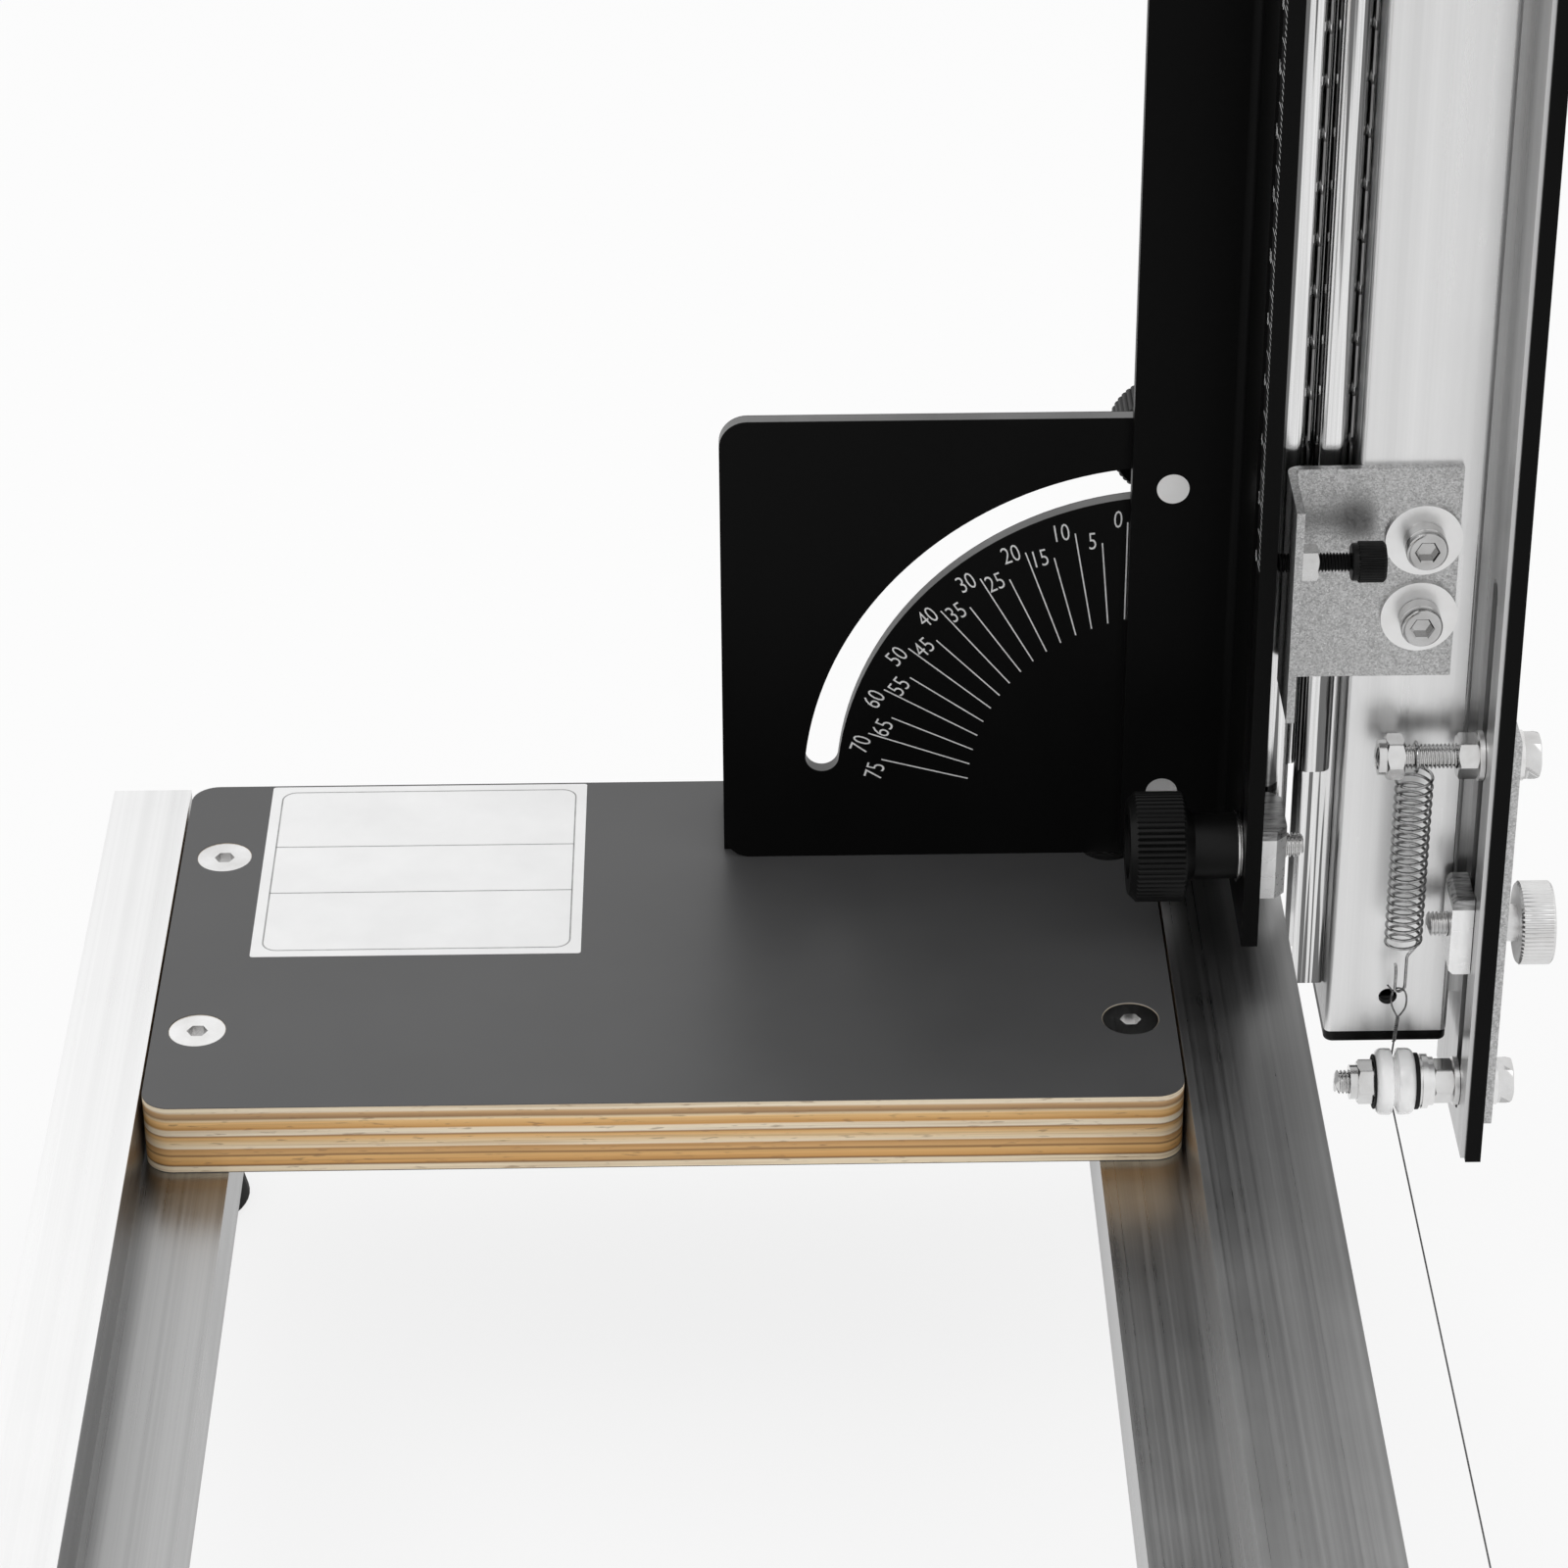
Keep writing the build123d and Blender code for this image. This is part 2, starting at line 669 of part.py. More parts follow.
def ball_cages(web_x, span):
    """The two strips of a cage and their balls, for the slide stage whose web is at web_x."""
    low, high = span
    length = high - low
    fold_x = web_x + slide_channel + slide_gap / 2
    ball_x = web_x + ball_inset
    for side in (-1, 1):
        leg_y = slide_y + side * cage_leg
        with Locations(((ball_x - ball_radius + fold_x + cage_wall / 2) / 2, leg_y, (low + high) / 2)):
            Box(fold_x + cage_wall / 2 - ball_x + ball_radius, cage_wall, length)
        with Locations((fold_x, leg_y + side * (cage_band - cage_wall) / 2, (low + high) / 2)):
            Box(cage_wall, cage_band, length)
        with Locations((fold_x, leg_y + side * (cage_wall + cage_band / 2), (low + high) / 2)):
            tabs = int(length / tab_pitch)
            with Locations([(0, 0, (i - (tabs - 1) / 2) * tab_pitch) for i in range(tabs)]):
                Box(2 * cage_wall, cage_band, tab_gap, mode=Mode.SUBTRACT)
        rise = length / balls_per_row
        places = [(ball_x, slide_y + side * ball_y, low + rise * (i + 0.5)) for i in range(balls_per_row)]
        with Locations(places):
            Cylinder(cage_hole, 3 * ball_radius, rotation=(90, 0, 0), mode=Mode.SUBTRACT)
        with Locations(places):
            Sphere(ball_radius)


for name, web_x, span in (
    ("outer_cages", mast_right, outer_cage_z), ("inner_cages", middle_web, inner_cage_z),
):
    with BuildPart() as cages:
        ball_cages(web_x, span)
        mirror(about=middle)
    pieces[name] = cages

# Bow arms: square tubes with the slides on their left sides
plate_bolt_points = [(arm_y, z) for z in plate_bolt_z]
corner_hole = corner_leg / 2
with BuildPart() as arm:
    with BuildSketch(Plane.XY.offset(arm_bottom)):
        with Locations((arm_x, arm_y)):
            RectangleRounded(arm_size, arm_size, arm_corner)
            Rectangle(arm_size - 2 * arm_wall, arm_size - 2 * arm_wall, mode=Mode.SUBTRACT)
    extrude(amount=arm_top - arm_bottom)
    with BuildSketch(toward_back(0, arm_front, 0)):
        with Locations((arm_x, -(arm_bottom + arm_hole_up))):
            Circle(arm_hole_radius)
        with Locations([(bracket_screw_x, -z) for z in bracket_screw_z]):
            Circle(thread_radius + press_clearance)
        with Locations((arm_x, corner_hole - arm_top)):
            Circle(small_thread_radius + press_clearance)
    extrude(amount=arm_wall, mode=Mode.SUBTRACT)
    with BuildSketch(toward_right(arm_right - arm_wall, 0, 0)):
        with Locations(plate_bolt_points):
            Circle(small_thread_radius + press_clearance)
    extrude(amount=arm_wall, mode=Mode.SUBTRACT)
paired["arm"] = arm

arm_back = arm_front + arm_size
beam_length = arm_back - near(arm_back)
with BuildPart() as bow_beam:
    beam_end = (arm_x, arm_back, arm_top + arm_size / 2)
    with BuildSketch(Plane(origin=beam_end, x_dir=(1, 0, 0), z_dir=(0, -1, 0))):
        RectangleRounded(arm_size, arm_size, arm_corner)
        Rectangle(arm_size - 2 * arm_wall, arm_size - 2 * arm_wall, mode=Mode.SUBTRACT)
    extrude(amount=beam_length)
    with Locations([(arm_x, y, arm_top) for y in (arm_front - corner_hole, near(arm_front - corner_hole))]):
        Cylinder(small_thread_radius + press_clearance, 2 * arm_wall + 0.2, mode=Mode.SUBTRACT)
    with Locations([(arm_x, middle_y + side * grip_span / 2, arm_top + arm_size) for side in (-1, 1)]):
        Cylinder(small_thread_radius + bolt_clearance, 2 * arm_wall + 0.2, mode=Mode.SUBTRACT)
pieces["bow_beam"] = bow_beam

# Plastic caps for the lower ends of the arms and the ends of the beam
with BuildPart() as cap:
    with BuildSketch():
        RectangleRounded(arm_size, arm_size, cap_corner)
    extrude(amount=-cap_thickness)
    fillet(faces().sort_by(Axis.Z)[0].edges(), cap_corner / 4)
    with BuildSketch():
        Rectangle(arm_size - 2 * (arm_wall + sliding_gap), arm_size - 2 * (arm_wall + sliding_gap))
        Rectangle(arm_size - 6 * arm_wall, arm_size - 6 * arm_wall, mode=Mode.SUBTRACT)
    extrude(amount=cap_plug)
with BuildPart() as tube_caps:
    with Locations((arm_x, arm_y, arm_bottom)):
        add(cap)
    with Locations(Location((arm_x, arm_back, arm_top + arm_size / 2), (90, 0, 0))):
        add(cap)
    mirror(about=middle)
pieces["tube_caps"] = tube_caps

# Corner angles between arms and beam
with BuildPart() as corner_angles:
    with BuildSketch(Plane(origin=(arm_x, arm_front, arm_top), x_dir=(0, -1, 0), z_dir=(1, 0, 0))):
        with BuildLine():
            Polyline(
                (0, 0), (corner_leg, 0), (corner_leg, corner_wall), (corner_wall, corner_wall),
                (corner_wall, corner_leg), (0, corner_leg), close=True,
            )
        make_face()
    extrude(amount=corner_leg / 2, both=True)
    inner_corner = (arm_x, arm_front - corner_wall, arm_top - corner_wall)
    fillet(edges().filter_by(Axis.X).sort_by_distance(inner_corner)[0], corner_wall)
    corner_bore = small_thread_radius + bolt_clearance
    with Locations((arm_x, arm_front - corner_wall / 2, arm_top - corner_hole)):
        Cylinder(corner_bore, 2 * corner_wall, rotation=(90, 0, 0), mode=Mode.SUBTRACT)
    with Locations((arm_x, arm_front - corner_hole, arm_top - corner_wall / 2)):
        Cylinder(corner_bore, 2 * corner_wall, mode=Mode.SUBTRACT)
    mirror(about=middle)
pieces["corner_angles"] = corner_angles


def button_screw(plane, length):
    """A small domed screw whose head stands on the plane and whose thread goes below it."""
    turned(
        plane, (0, small_head), (small_head_radius * 0.6, small_head), (small_head_radius, small_head * 0.4),
        (small_head_radius, 0), (small_thread_radius, 0), (small_thread_radius, -length), (0, -length),
    )


grip_ends = (middle_y - grip_span / 2, middle_y + grip_span / 2)
plate_stack = wire_plate_thickness + wire_plate_left - arm_right
with BuildPart() as bow_screws:
    under = Plane(origin=(arm_x, arm_front - corner_hole, arm_top - corner_wall), z_dir=(0, 0, -1))
    button_screw(under, corner_wall + arm_wall + 3)
    button_screw(
        Plane(origin=(arm_x, arm_front - corner_wall, arm_top - corner_hole), z_dir=(0, -1, 0)),
        corner_wall + arm_wall + 3,
    )
    for y, z in plate_bolt_points:
        button_screw(toward_right(arm_right + plate_stack, y, z), plate_stack + arm_wall + 3)
    mirror(about=middle)
    for y in grip_ends:
        button_screw(
            Plane(origin=(arm_x, y, arm_top + arm_size - arm_wall), z_dir=(0, 0, -1)),
            arm_wall + grip_screw_depth - 1,
        )
pieces["bow_screws"] = bow_screws

# Stop brackets on the arms: an angle whose flange faces the mast
with BuildPart() as bracket:
    with BuildSketch(Plane.XY.offset(bracket_bottom)):
        with BuildLine():
            Polyline(
                (bracket_left, arm_front), (bracket_left + bracket_width, arm_front),
                (bracket_left + bracket_width, arm_front - bracket_wall),
                (bracket_left + bracket_wall, arm_front - bracket_wall),
                (bracket_left + bracket_wall, arm_front - bracket_depth),
                (bracket_left, arm_front - bracket_depth), close=True,
            )
        make_face()
        fillet(vertices().sort_by_distance((bracket_left, arm_front))[0], bracket_bend + bracket_wall)
        inside = (bracket_left + bracket_wall, arm_front - bracket_wall)
        fillet(vertices().sort_by_distance(inside)[0], bracket_bend)
    extrude(amount=bracket_height)
    with BuildSketch(toward_back(0, arm_front - bracket_wall, 0)):
        with Locations([(bracket_screw_x, -z) for z in bracket_screw_z]):
            Circle(thread_radius + bolt_clearance)
    extrude(amount=bracket_wall, mode=Mode.SUBTRACT)
    with BuildSketch(toward_right(bracket_left, lock_y, lock_z)):
        Circle(lock_radius + running_clearance)
    extrude(amount=bracket_wall, mode=Mode.SUBTRACT)
paired["bracket"] = bracket

washer_front = arm_front - bracket_wall - washer_thickness
with BuildPart() as bracket_washers:
    for z in bracket_screw_z:
        ring(
            toward_back(bracket_screw_x, washer_front, z), washer_radius, thread_radius + bolt_clearance,
            washer_thickness,
        )
    mirror(about=middle)
pieces["bracket_washers"] = bracket_washers

with BuildPart() as bracket_screws:
    for z in bracket_screw_z:
        head_front = toward_back(bracket_screw_x, washer_front - cap_screw_head, z)
        turned(
            head_front, (0, 0), (cap_screw_radius - 0.6, 0), (cap_screw_radius, 0.6),
            (cap_screw_radius, cap_screw_head), (thread_radius, cap_screw_head),
            (thread_radius, cap_screw_head + cap_screw_length), (0, cap_screw_head + cap_screw_length),
        )
        with BuildSketch(head_front):
            RegularPolygon(cap_socket_radius, 6, major_radius=False)
        extrude(amount=cap_screw_head / 2, mode=Mode.SUBTRACT)
    mirror(about=middle)
pieces["bracket_screws"] = bracket_screws

# Lock screws: threaded through a nut behind the bracket's flange, their tips on the mast
with BuildPart() as lock_nuts:
    hex_nut(
        toward_right(bracket_left + bracket_wall, lock_y, lock_z), lock_nut_flats,
        lock_radius + running_clearance, lock_nut,
    )
    mirror(about=middle)
pieces["lock_nuts"] = lock_nuts

lock_tip = mast_right + sliding_gap
with BuildPart() as lock_screw:
    turned(
        toward_right(lock_tip, lock_y, lock_z), (0, 0), (lock_radius - 0.6, 0), (lock_radius, 0.6),
        (lock_radius, lock_head_x - lock_tip), (0, lock_head_x - lock_tip),
    )
    knurled(
        toward_right(lock_head_x, lock_y, lock_z), lock_head_radius, lock_head, lock_flutes, lock_flute_depth,
        lock_chamfer,
    )
paired["lock_screw"] = lock_screw

# Wire plates: slotted plates on the arms' right sides, over a liner with a packing bar
wire_plate_middle = wire_plate_front + wire_plate_depth / 2
wire_slot_width = 2 * (thread_radius + bolt_clearance)


def slotted_plate(left, thickness, margin):
    """The plate's outline, smaller by a margin all round, with the wire slot and the screw holes."""
    with BuildSketch(toward_right(left, 0, 0)) as outline:
        with Locations((wire_plate_middle, (wire_plate_bottom + wire_plate_top) / 2)):
            Rectangle(wire_plate_depth - 2 * margin, wire_plate_top - wire_plate_bottom - 2 * margin)
        lower = outline.vertices().group_by(Axis.Z)[0]
        fillet(lower.sort_by(Axis.Y)[-1], wire_plate_corner)
        with Locations((wire_y, (wire_slot_bottom + wire_slot_top) / 2)):
            SlotOverall(wire_slot_top - wire_slot_bottom, wire_slot_width, 90, mode=Mode.SUBTRACT)
        with Locations(plate_bolt_points):
            Circle(small_thread_radius + bolt_clearance, mode=Mode.SUBTRACT)
    extrude(outline.sketch, amount=thickness)


with BuildPart() as wire_plate:
    slotted_plate(wire_plate_left, wire_plate_thickness, 0)
paired["wire_plate"] = wire_plate

with BuildPart() as plate_liners:
    slotted_plate(liner_left, liner_thickness, liner_margin)
    packing_front = arm_front + packing_setback
    packing_back = arm_back - packing_setback
    with BuildSketch(toward_right(arm_right, 0, 0)):
        with Locations(((packing_front + packing_back) / 2, (packing_bottom + packing_top) / 2)):
            Rectangle(packing_back - packing_front, packing_top - packing_bottom)
        with Locations(plate_bolt_points):
            Circle(small_thread_radius + bolt_clearance, mode=Mode.SUBTRACT)
    extrude(amount=liner_left - arm_right)
    mirror(about=middle)
pieces["plate_liners"] = plate_liners

# Wire carriage: a strip outside the plate, a clamp block inside it and two bolts through the slot
block_right = liner_left - sliding_gap
with BuildPart() as carriage_strips:
    with BuildSketch(toward_right(strip_left, wire_y, 0)):
        with Locations((0, (strip_bottom + strip_top) / 2)):
            Rectangle(strip_width, strip_top - strip_bottom)
            fillet(vertices(), strip_corner)
        with Locations((0, hook_bolt_z), (0, roller_z)):
            Circle(thread_radius + press_clearance, mode=Mode.SUBTRACT)
        with Locations((0, clamp_z)):
            Circle(thread_radius + running_clearance, mode=Mode.SUBTRACT)
    extrude(amount=strip_thickness)
    mirror(about=middle)
pieces["carriage_strips"] = carriage_strips

with BuildPart() as clamp_blocks:
    with BuildSketch(toward_right(block_right - clamp_block[0], wire_y, clamp_z)):
        Rectangle(clamp_block[1], clamp_block[2])
        Circle(thread_radius + running_clearance, mode=Mode.SUBTRACT)
    extrude(amount=clamp_block[0])
    chamfer(faces().sort_by(Axis.X)[0].outer_wire().edges().filter_by(Axis.Y), clamp_chamfer)
    mirror(about=middle)
pieces["clamp_blocks"] = clamp_blocks

with BuildPart() as wire_knob:
    knob_face = strip_right + sliding_gap
    turned(
        toward_right(clamp_thread_tip, wire_y, clamp_z), (0, 0), (thread_radius - 1, 0), (thread_radius, 1),
        (thread_radius, knob_face - clamp_thread_tip), (silver_neck_radius, knob_face - clamp_thread_tip),
        (silver_neck_radius, knob_face + silver_neck - clamp_thread_tip),
        (0, knob_face + silver_neck - clamp_thread_tip),
    )
    knurled(
        toward_right(knob_face + silver_neck, wire_y, clamp_z), silver_radius, silver_head, silver_flutes,
        silver_flute_depth, silver_chamfer,
    )
paired["wire_knob"] = wire_knob

bolt_seat = strip_right + washer_thickness
inner_nut_left = block_right - washer_thickness - nut_height
with BuildPart() as carriage_bolts:
    for z, tip in ((hook_bolt_z, hook_bolt_tip), (roller_z, roller_bolt_tip)):
        turned(
            toward_right(tip, wire_y, z), (0, 0), (thread_radius - 1, 0), (thread_radius, 1),
            (thread_radius, bolt_seat - tip), (0, bolt_seat - tip),
        )
        hex_nut(toward_right(bolt_seat, wire_y, z), nut_flats, 0, bolt_head)
    mirror(about=middle)
pieces["carriage_bolts"] = carriage_bolts

hook_nut_right = hook_bolt_tip + nut_setback + lock_nut_height
hex_part = lock_nut_height * lock_nut_hex
nut_bore = thread_radius + press_clearance
with BuildPart() as carriage_nuts:
    for x, z in ((hook_nut_right, hook_bolt_z), (roller_left - sliding_gap, roller_z)):
        hex_nut(toward_right(inner_nut_left, wire_y, z), nut_flats, nut_bore, nut_height)
        hex_nut(toward_left(x, wire_y, z), nut_flats, nut_bore, hex_part)
        ring(toward_left(x - hex_part, wire_y, z), lock_nut_collar, nut_bore, lock_nut_height - hex_part)
    mirror(about=middle)
pieces["carriage_nuts"] = carriage_nuts

roller_right = roller_left + roller_width
stack_left = roller_right + sliding_gap
stack_washer = (inner_nut_left - stack_left) / 3
with BuildPart() as carriage_washers:
    for z in (hook_bolt_z, roller_z):
        for x in (strip_right, inner_nut_left + nut_height):
            ring(
                toward_right(x, wire_y, z), small_washer_radius, thread_radius + press_clearance,
                washer_thickness,
            )
    for i, radius in enumerate((small_washer_radius, small_washer_radius + 1, small_washer_radius)):
        ring(
            toward_right(stack_left + i * stack_washer, wire_y, roller_z), radius,
            thread_radius + press_clearance, stack_washer,
        )
    mirror(about=middle)
pieces["carriage_washers"] = carriage_washers

# Ceramic rollers: their grooves lead the wire round a quarter turn
groove_left = groove_at - groove_floor / 2
with BuildPart() as roller:
    turned(
        toward_right(roller_left, wire_y, roller_z), (thread_radius + running_clearance, 0),
        (roller_radius - roller_edge, 0), (roller_radius, roller_edge), (roller_radius, groove_left - 0.5),
        (groove_radius, groove_left), (groove_radius, groove_left + groove_floor),
        (roller_radius, groove_left + groove_width), (roller_radius, roller_width - roller_edge),
        (roller_radius - roller_edge, roller_width), (thread_radius + running_clearance, roller_width),
    )
paired["roller"] = roller

# Extension spring: its body as a sleeve, with a hook round the bolt and a long hook below
coil_radius = spring_radius - spring_wire
loop_radius = thread_radius + bolt_clearance + spring_wire
loop_z = hook_bolt_z + thread_radius + spring_wire + running_clearance - loop_radius
with BuildPart() as spring:
    ring(
        Plane(origin=(wire_x, wire_y, spring_bottom)), spring_radius, spring_radius - 2 * spring_wire,
        spring_top - spring_bottom,
    )
    with BuildLine(toward_right(wire_x, wire_y, loop_z)) as top_hook:
        Line((coil_radius, spring_top - loop_z - spring_wire), (loop_radius, 0))
        CenterArc((0, 0), loop_radius, 0, 270)
    with BuildSketch(Plane(origin=top_hook.line @ 0, z_dir=top_hook.line % 0)) as top_wire:
        Circle(spring_wire)
    sweep(top_wire.sketch, path=top_hook.line, transition=Transition.ROUND)
    with BuildLine(Plane(origin=(wire_x, wire_y, 0), x_dir=(1, 0, 0), z_dir=(0, -1, 0))) as low_hook:
        Line((coil_radius, spring_bottom + spring_wire), (coil_radius, spring_bottom - 2))
        bend = Line((coil_radius, spring_bottom - 2), (hook_half, spring_bottom - 6))
        eye = spring_hook_z + hook_half
        Line(bend @ 1, (hook_half, eye))
        CenterArc((0, eye), hook_half, 0, -180)
        Line((-hook_half, eye), (-hook_half, spring_bottom - 7))
    with BuildSketch(Plane(origin=low_hook.line @ 0, z_dir=low_hook.line % 0)) as low_wire:
        Circle(spring_wire)
    sweep(low_wire.sketch, path=low_hook.line, transition=Transition.ROUND)
pieces["spring"] = spring

# Hot wire: from the spring's hook round both rollers to the near end's hook bolt
lead_radius = groove_radius + wire_radius + running_clearance
wire_start = spring_hook_z - spring_wire - wire_radius - running_clearance
wire_end = hook_bolt_z - thread_radius - wire_radius - running_clearance


def lead_points(top):
    """Where a straight lead from a height meets the roller's far side, a point on it and its foot."""
    meets = acos(lead_radius / (top - roller_z))
    turn = (meets, (meets + pi) / 2, pi)
    return [(lead_radius * sin(a), roller_z + lead_radius * cos(a)) for a in turn]


with BuildPart() as hot_wire:
    far_meet, far_half, far_foot = [(wire_y + y, z) for y, z in lead_points(wire_start)]
    near_meet, near_half, near_foot = [(near(wire_y + y), z) for y, z in lead_points(wire_end)]
    with BuildLine(toward_right(wire_x, 0, 0)) as wire_path:
        Line((wire_y, wire_start), far_meet)
        ThreePointArc(far_meet, far_half, far_foot)
        Line(far_foot, near_foot)
        ThreePointArc(near_foot, near_half, near_meet)
        Line(near_meet, (near(wire_y), wire_end))
    with BuildSketch(Plane(origin=wire_path.line @ 0, z_dir=wire_path.line % 0)) as wire_section:
        Circle(wire_radius)
    sweep(wire_section.sketch, path=wire_path.line)
pieces["hot_wire"] = hot_wire

# Grip: a bridge handle over the middle of the beam
with BuildPart() as grip:
    beam_top = arm_top + arm_size
    with BuildLine() as bridge:
        FilletPolyline(
            (arm_x, grip_ends[0], beam_top), (arm_x, grip_ends[0], beam_top + grip_rise),
            (arm_x, grip_ends[1], beam_top + grip_rise), (arm_x, grip_ends[1], beam_top), radius=grip_bend,
        )
    with BuildSketch(Plane(origin=bridge.line @ 0, z_dir=bridge.line % 0)) as grip_section:
        Circle(grip_radius)
    sweep(grip_section.sketch, path=bridge.line)
    for y in grip_ends:
        turned(
            Plane(origin=(arm_x, y, beam_top), z_dir=(0, 0, 1)), (0, 0), (grip_radius + 5, 0),
            (grip_radius + 4, 4), (grip_radius, 7), (0, 7),
        )
        with Locations((arm_x, y, beam_top)):
            Cylinder(small_thread_radius + press_clearance, 2 * grip_screw_depth, mode=Mode.SUBTRACT)
pieces["grip"] = grip

# The near end, and the move to the centre of the footprint
for name, piece in paired.items():
    pieces[name + "_far"] = piece
    with BuildPart() as twin:
        mirror(piece.part, about=middle)
    pieces[name + "_near"] = twin

boxes = [piece.part.bounding_box() for piece in pieces.values()]
middle_x = (min(box.min.X for box in boxes) + max(box.max.X for box in boxes)) / 2
to_footprint = Location((-middle_x, -middle_y, -ground))
print("moved by", to_footprint.position, "nodes", len(pieces))
for name, piece in pieces.items():
    placed = Compound([solid.moved(to_footprint) for solid in piece.part.solids()])
    placed.label = name
    export_step(placed, f"parts/{name}.step")
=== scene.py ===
import bmesh
import bpy
from math import acos, atan2, cos, degrees, pi, radians, sin, sqrt, tau
from mathutils import Matrix, Vector


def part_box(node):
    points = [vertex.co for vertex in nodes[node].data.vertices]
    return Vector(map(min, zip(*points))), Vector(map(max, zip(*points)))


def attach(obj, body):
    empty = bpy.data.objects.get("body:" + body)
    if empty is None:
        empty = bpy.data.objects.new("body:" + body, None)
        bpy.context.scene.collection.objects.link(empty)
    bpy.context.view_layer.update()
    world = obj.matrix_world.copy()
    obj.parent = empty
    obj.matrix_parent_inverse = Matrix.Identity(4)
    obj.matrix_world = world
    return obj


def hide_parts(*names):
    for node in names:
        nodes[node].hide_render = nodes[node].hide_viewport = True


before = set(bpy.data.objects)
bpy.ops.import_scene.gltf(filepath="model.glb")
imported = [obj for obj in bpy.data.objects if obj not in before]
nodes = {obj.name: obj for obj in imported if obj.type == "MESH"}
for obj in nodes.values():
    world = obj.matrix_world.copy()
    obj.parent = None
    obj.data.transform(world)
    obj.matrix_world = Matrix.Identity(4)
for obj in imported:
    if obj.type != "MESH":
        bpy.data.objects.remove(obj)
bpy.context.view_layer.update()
boardLow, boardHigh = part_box("board_far")
# the middle of the far board's front top edge
bench = Vector(((boardLow.x + boardHigh.x) / 2, boardLow.y, boardHigh.z))
beamLow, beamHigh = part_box("bow_beam")
middleY = (beamLow.y + beamHigh.y) / 2
mm = 0.001
nearSum = 2 * (middleY - bench.y) / mm   # y at the far end plus y at the near end
print("frame loaded,", len(nodes), "nodes")


def place(x, y, z):
    # bench sizes in millimetres, as a point in the model
    return bench + Vector((x, y, z)) * mm


def across(y, end):
    # the same place at the far or the near end
    return y if end == "far" else nearSum - y


facings = {
    "up": (0, "Z"), "down": (pi, "X"), "right": (pi / 2, "Y"), "back": (-pi / 2, "X"), "front": (pi / 2, "X"),
}


def spotAt(x, y, z, toward="up"):
    # a spot to build on in millimetres, with its own z along the named direction
    turn, about = facings[toward]
    return Matrix.Translation(place(x, y, z)) @ Matrix.Rotation(turn, 4, about) @ Matrix.Scale(mm, 4)


# shader maths as plain expressions
class Value:
    def __init__(self, finish, socket):
        self.finish = finish
        self.socket = socket

    def __add__(self, other):
        return self.finish.math("ADD", self, other)

    def __radd__(self, other):
        return self.finish.math("ADD", other, self)

    def __sub__(self, other):
        return self.finish.math("SUBTRACT", self, other)

    def __rsub__(self, other):
        return self.finish.math("SUBTRACT", other, self)

    def __mul__(self, other):
        return self.finish.math("MULTIPLY", self, other)

    def __rmul__(self, other):
        return self.finish.math("MULTIPLY", other, self)

    def __truediv__(self, other):
        return self.finish.math("DIVIDE", self, other)

    def __gt__(self, other):
        return self.finish.math("GREATER_THAN", self, other)

    def __lt__(self, other):
        return self.finish.math("LESS_THAN", self, other)


class Finish:
    def __init__(self, name, **fixed):
        self.material = bpy.data.materials.new(name)
        self.material.use_nodes = True
        self.tree = self.material.node_tree
        self.tree.nodes.clear()
        self.surface = self.tree.nodes.new("ShaderNodeBsdfPrincipled")
        output = self.tree.nodes.new("ShaderNodeOutputMaterial")
        self.tree.links.new(self.surface.outputs[0], output.inputs[0])
        for socket, value in fixed.items():
            self.set(socket.replace("_", " "), value)

    def node(self, kind, settings=None, inputs=None, take=0):
        made = self.tree.nodes.new("ShaderNode" + kind)
        for key, value in (settings or {}).items():
            if key == "stops":
                self.fillRamp(made.color_ramp, value)
            else:
                setattr(made, key, value)
        for key, value in (inputs or {}).items():
            self.plug(made.inputs[key], value)
        return Value(self, made.outputs[take])

    def fillRamp(self, ramp, stops):
        while len(ramp.elements) < len(stops):
            ramp.elements.new(0.5)
        for element, (position, shade) in zip(ramp.elements, stops):
            element.position = position
            element.color = shade if isinstance(shade, tuple) else (shade, shade, shade, 1)

    def plug(self, socket, value):
        if isinstance(value, Value):
            self.tree.links.new(value.socket, socket)
        else:
            socket.default_value = value

    def set(self, socket, value):
        self.plug(self.surface.inputs[socket], value)

    def math(self, operation, a, b=0.0):
        return self.node("Math", {"operation": operation}, {0: a, 1: b})

    def mix(self, factor, a, b):
        return self.node("Mix", {"data_type": "RGBA"}, {0: factor, 6: a, 7: b}, take=2)

    def place(self, stretch=(1, 1, 1)):
        spot = self.node("TexCoord", take=3)
        return self.node("Mapping", inputs={0: spot, 3: stretch})

    def axis(self, letter):
        apart = self.tree.nodes.new("ShaderNodeSeparateXYZ")
        self.tree.links.new(self.node("TexCoord", take=3).socket, apart.inputs[0])
        return Value(self, apart.outputs["XYZ".index(letter)])

    def noise(self, scale, detail=3.0, stretch=(1, 1, 1), rough=0.55):
        return self.node("TexNoise", inputs={
            "Vector": self.place(stretch), "Scale": scale, "Detail": detail, "Roughness": rough,
        })

    def ramp(self, value, *stops):
        return self.node("ValToRGB", {"stops": stops}, {0: value})

    def bump(self, height, strength=0.3, distance=0.0002):
        inputs = {"Strength": strength, "Distance": distance, "Height": height}
        self.set("Normal", self.node("Bump", inputs=inputs))


def grey(level, warm=0.0):
    return (level * (1 + warm), level, level * (1 - warm), 1.0)


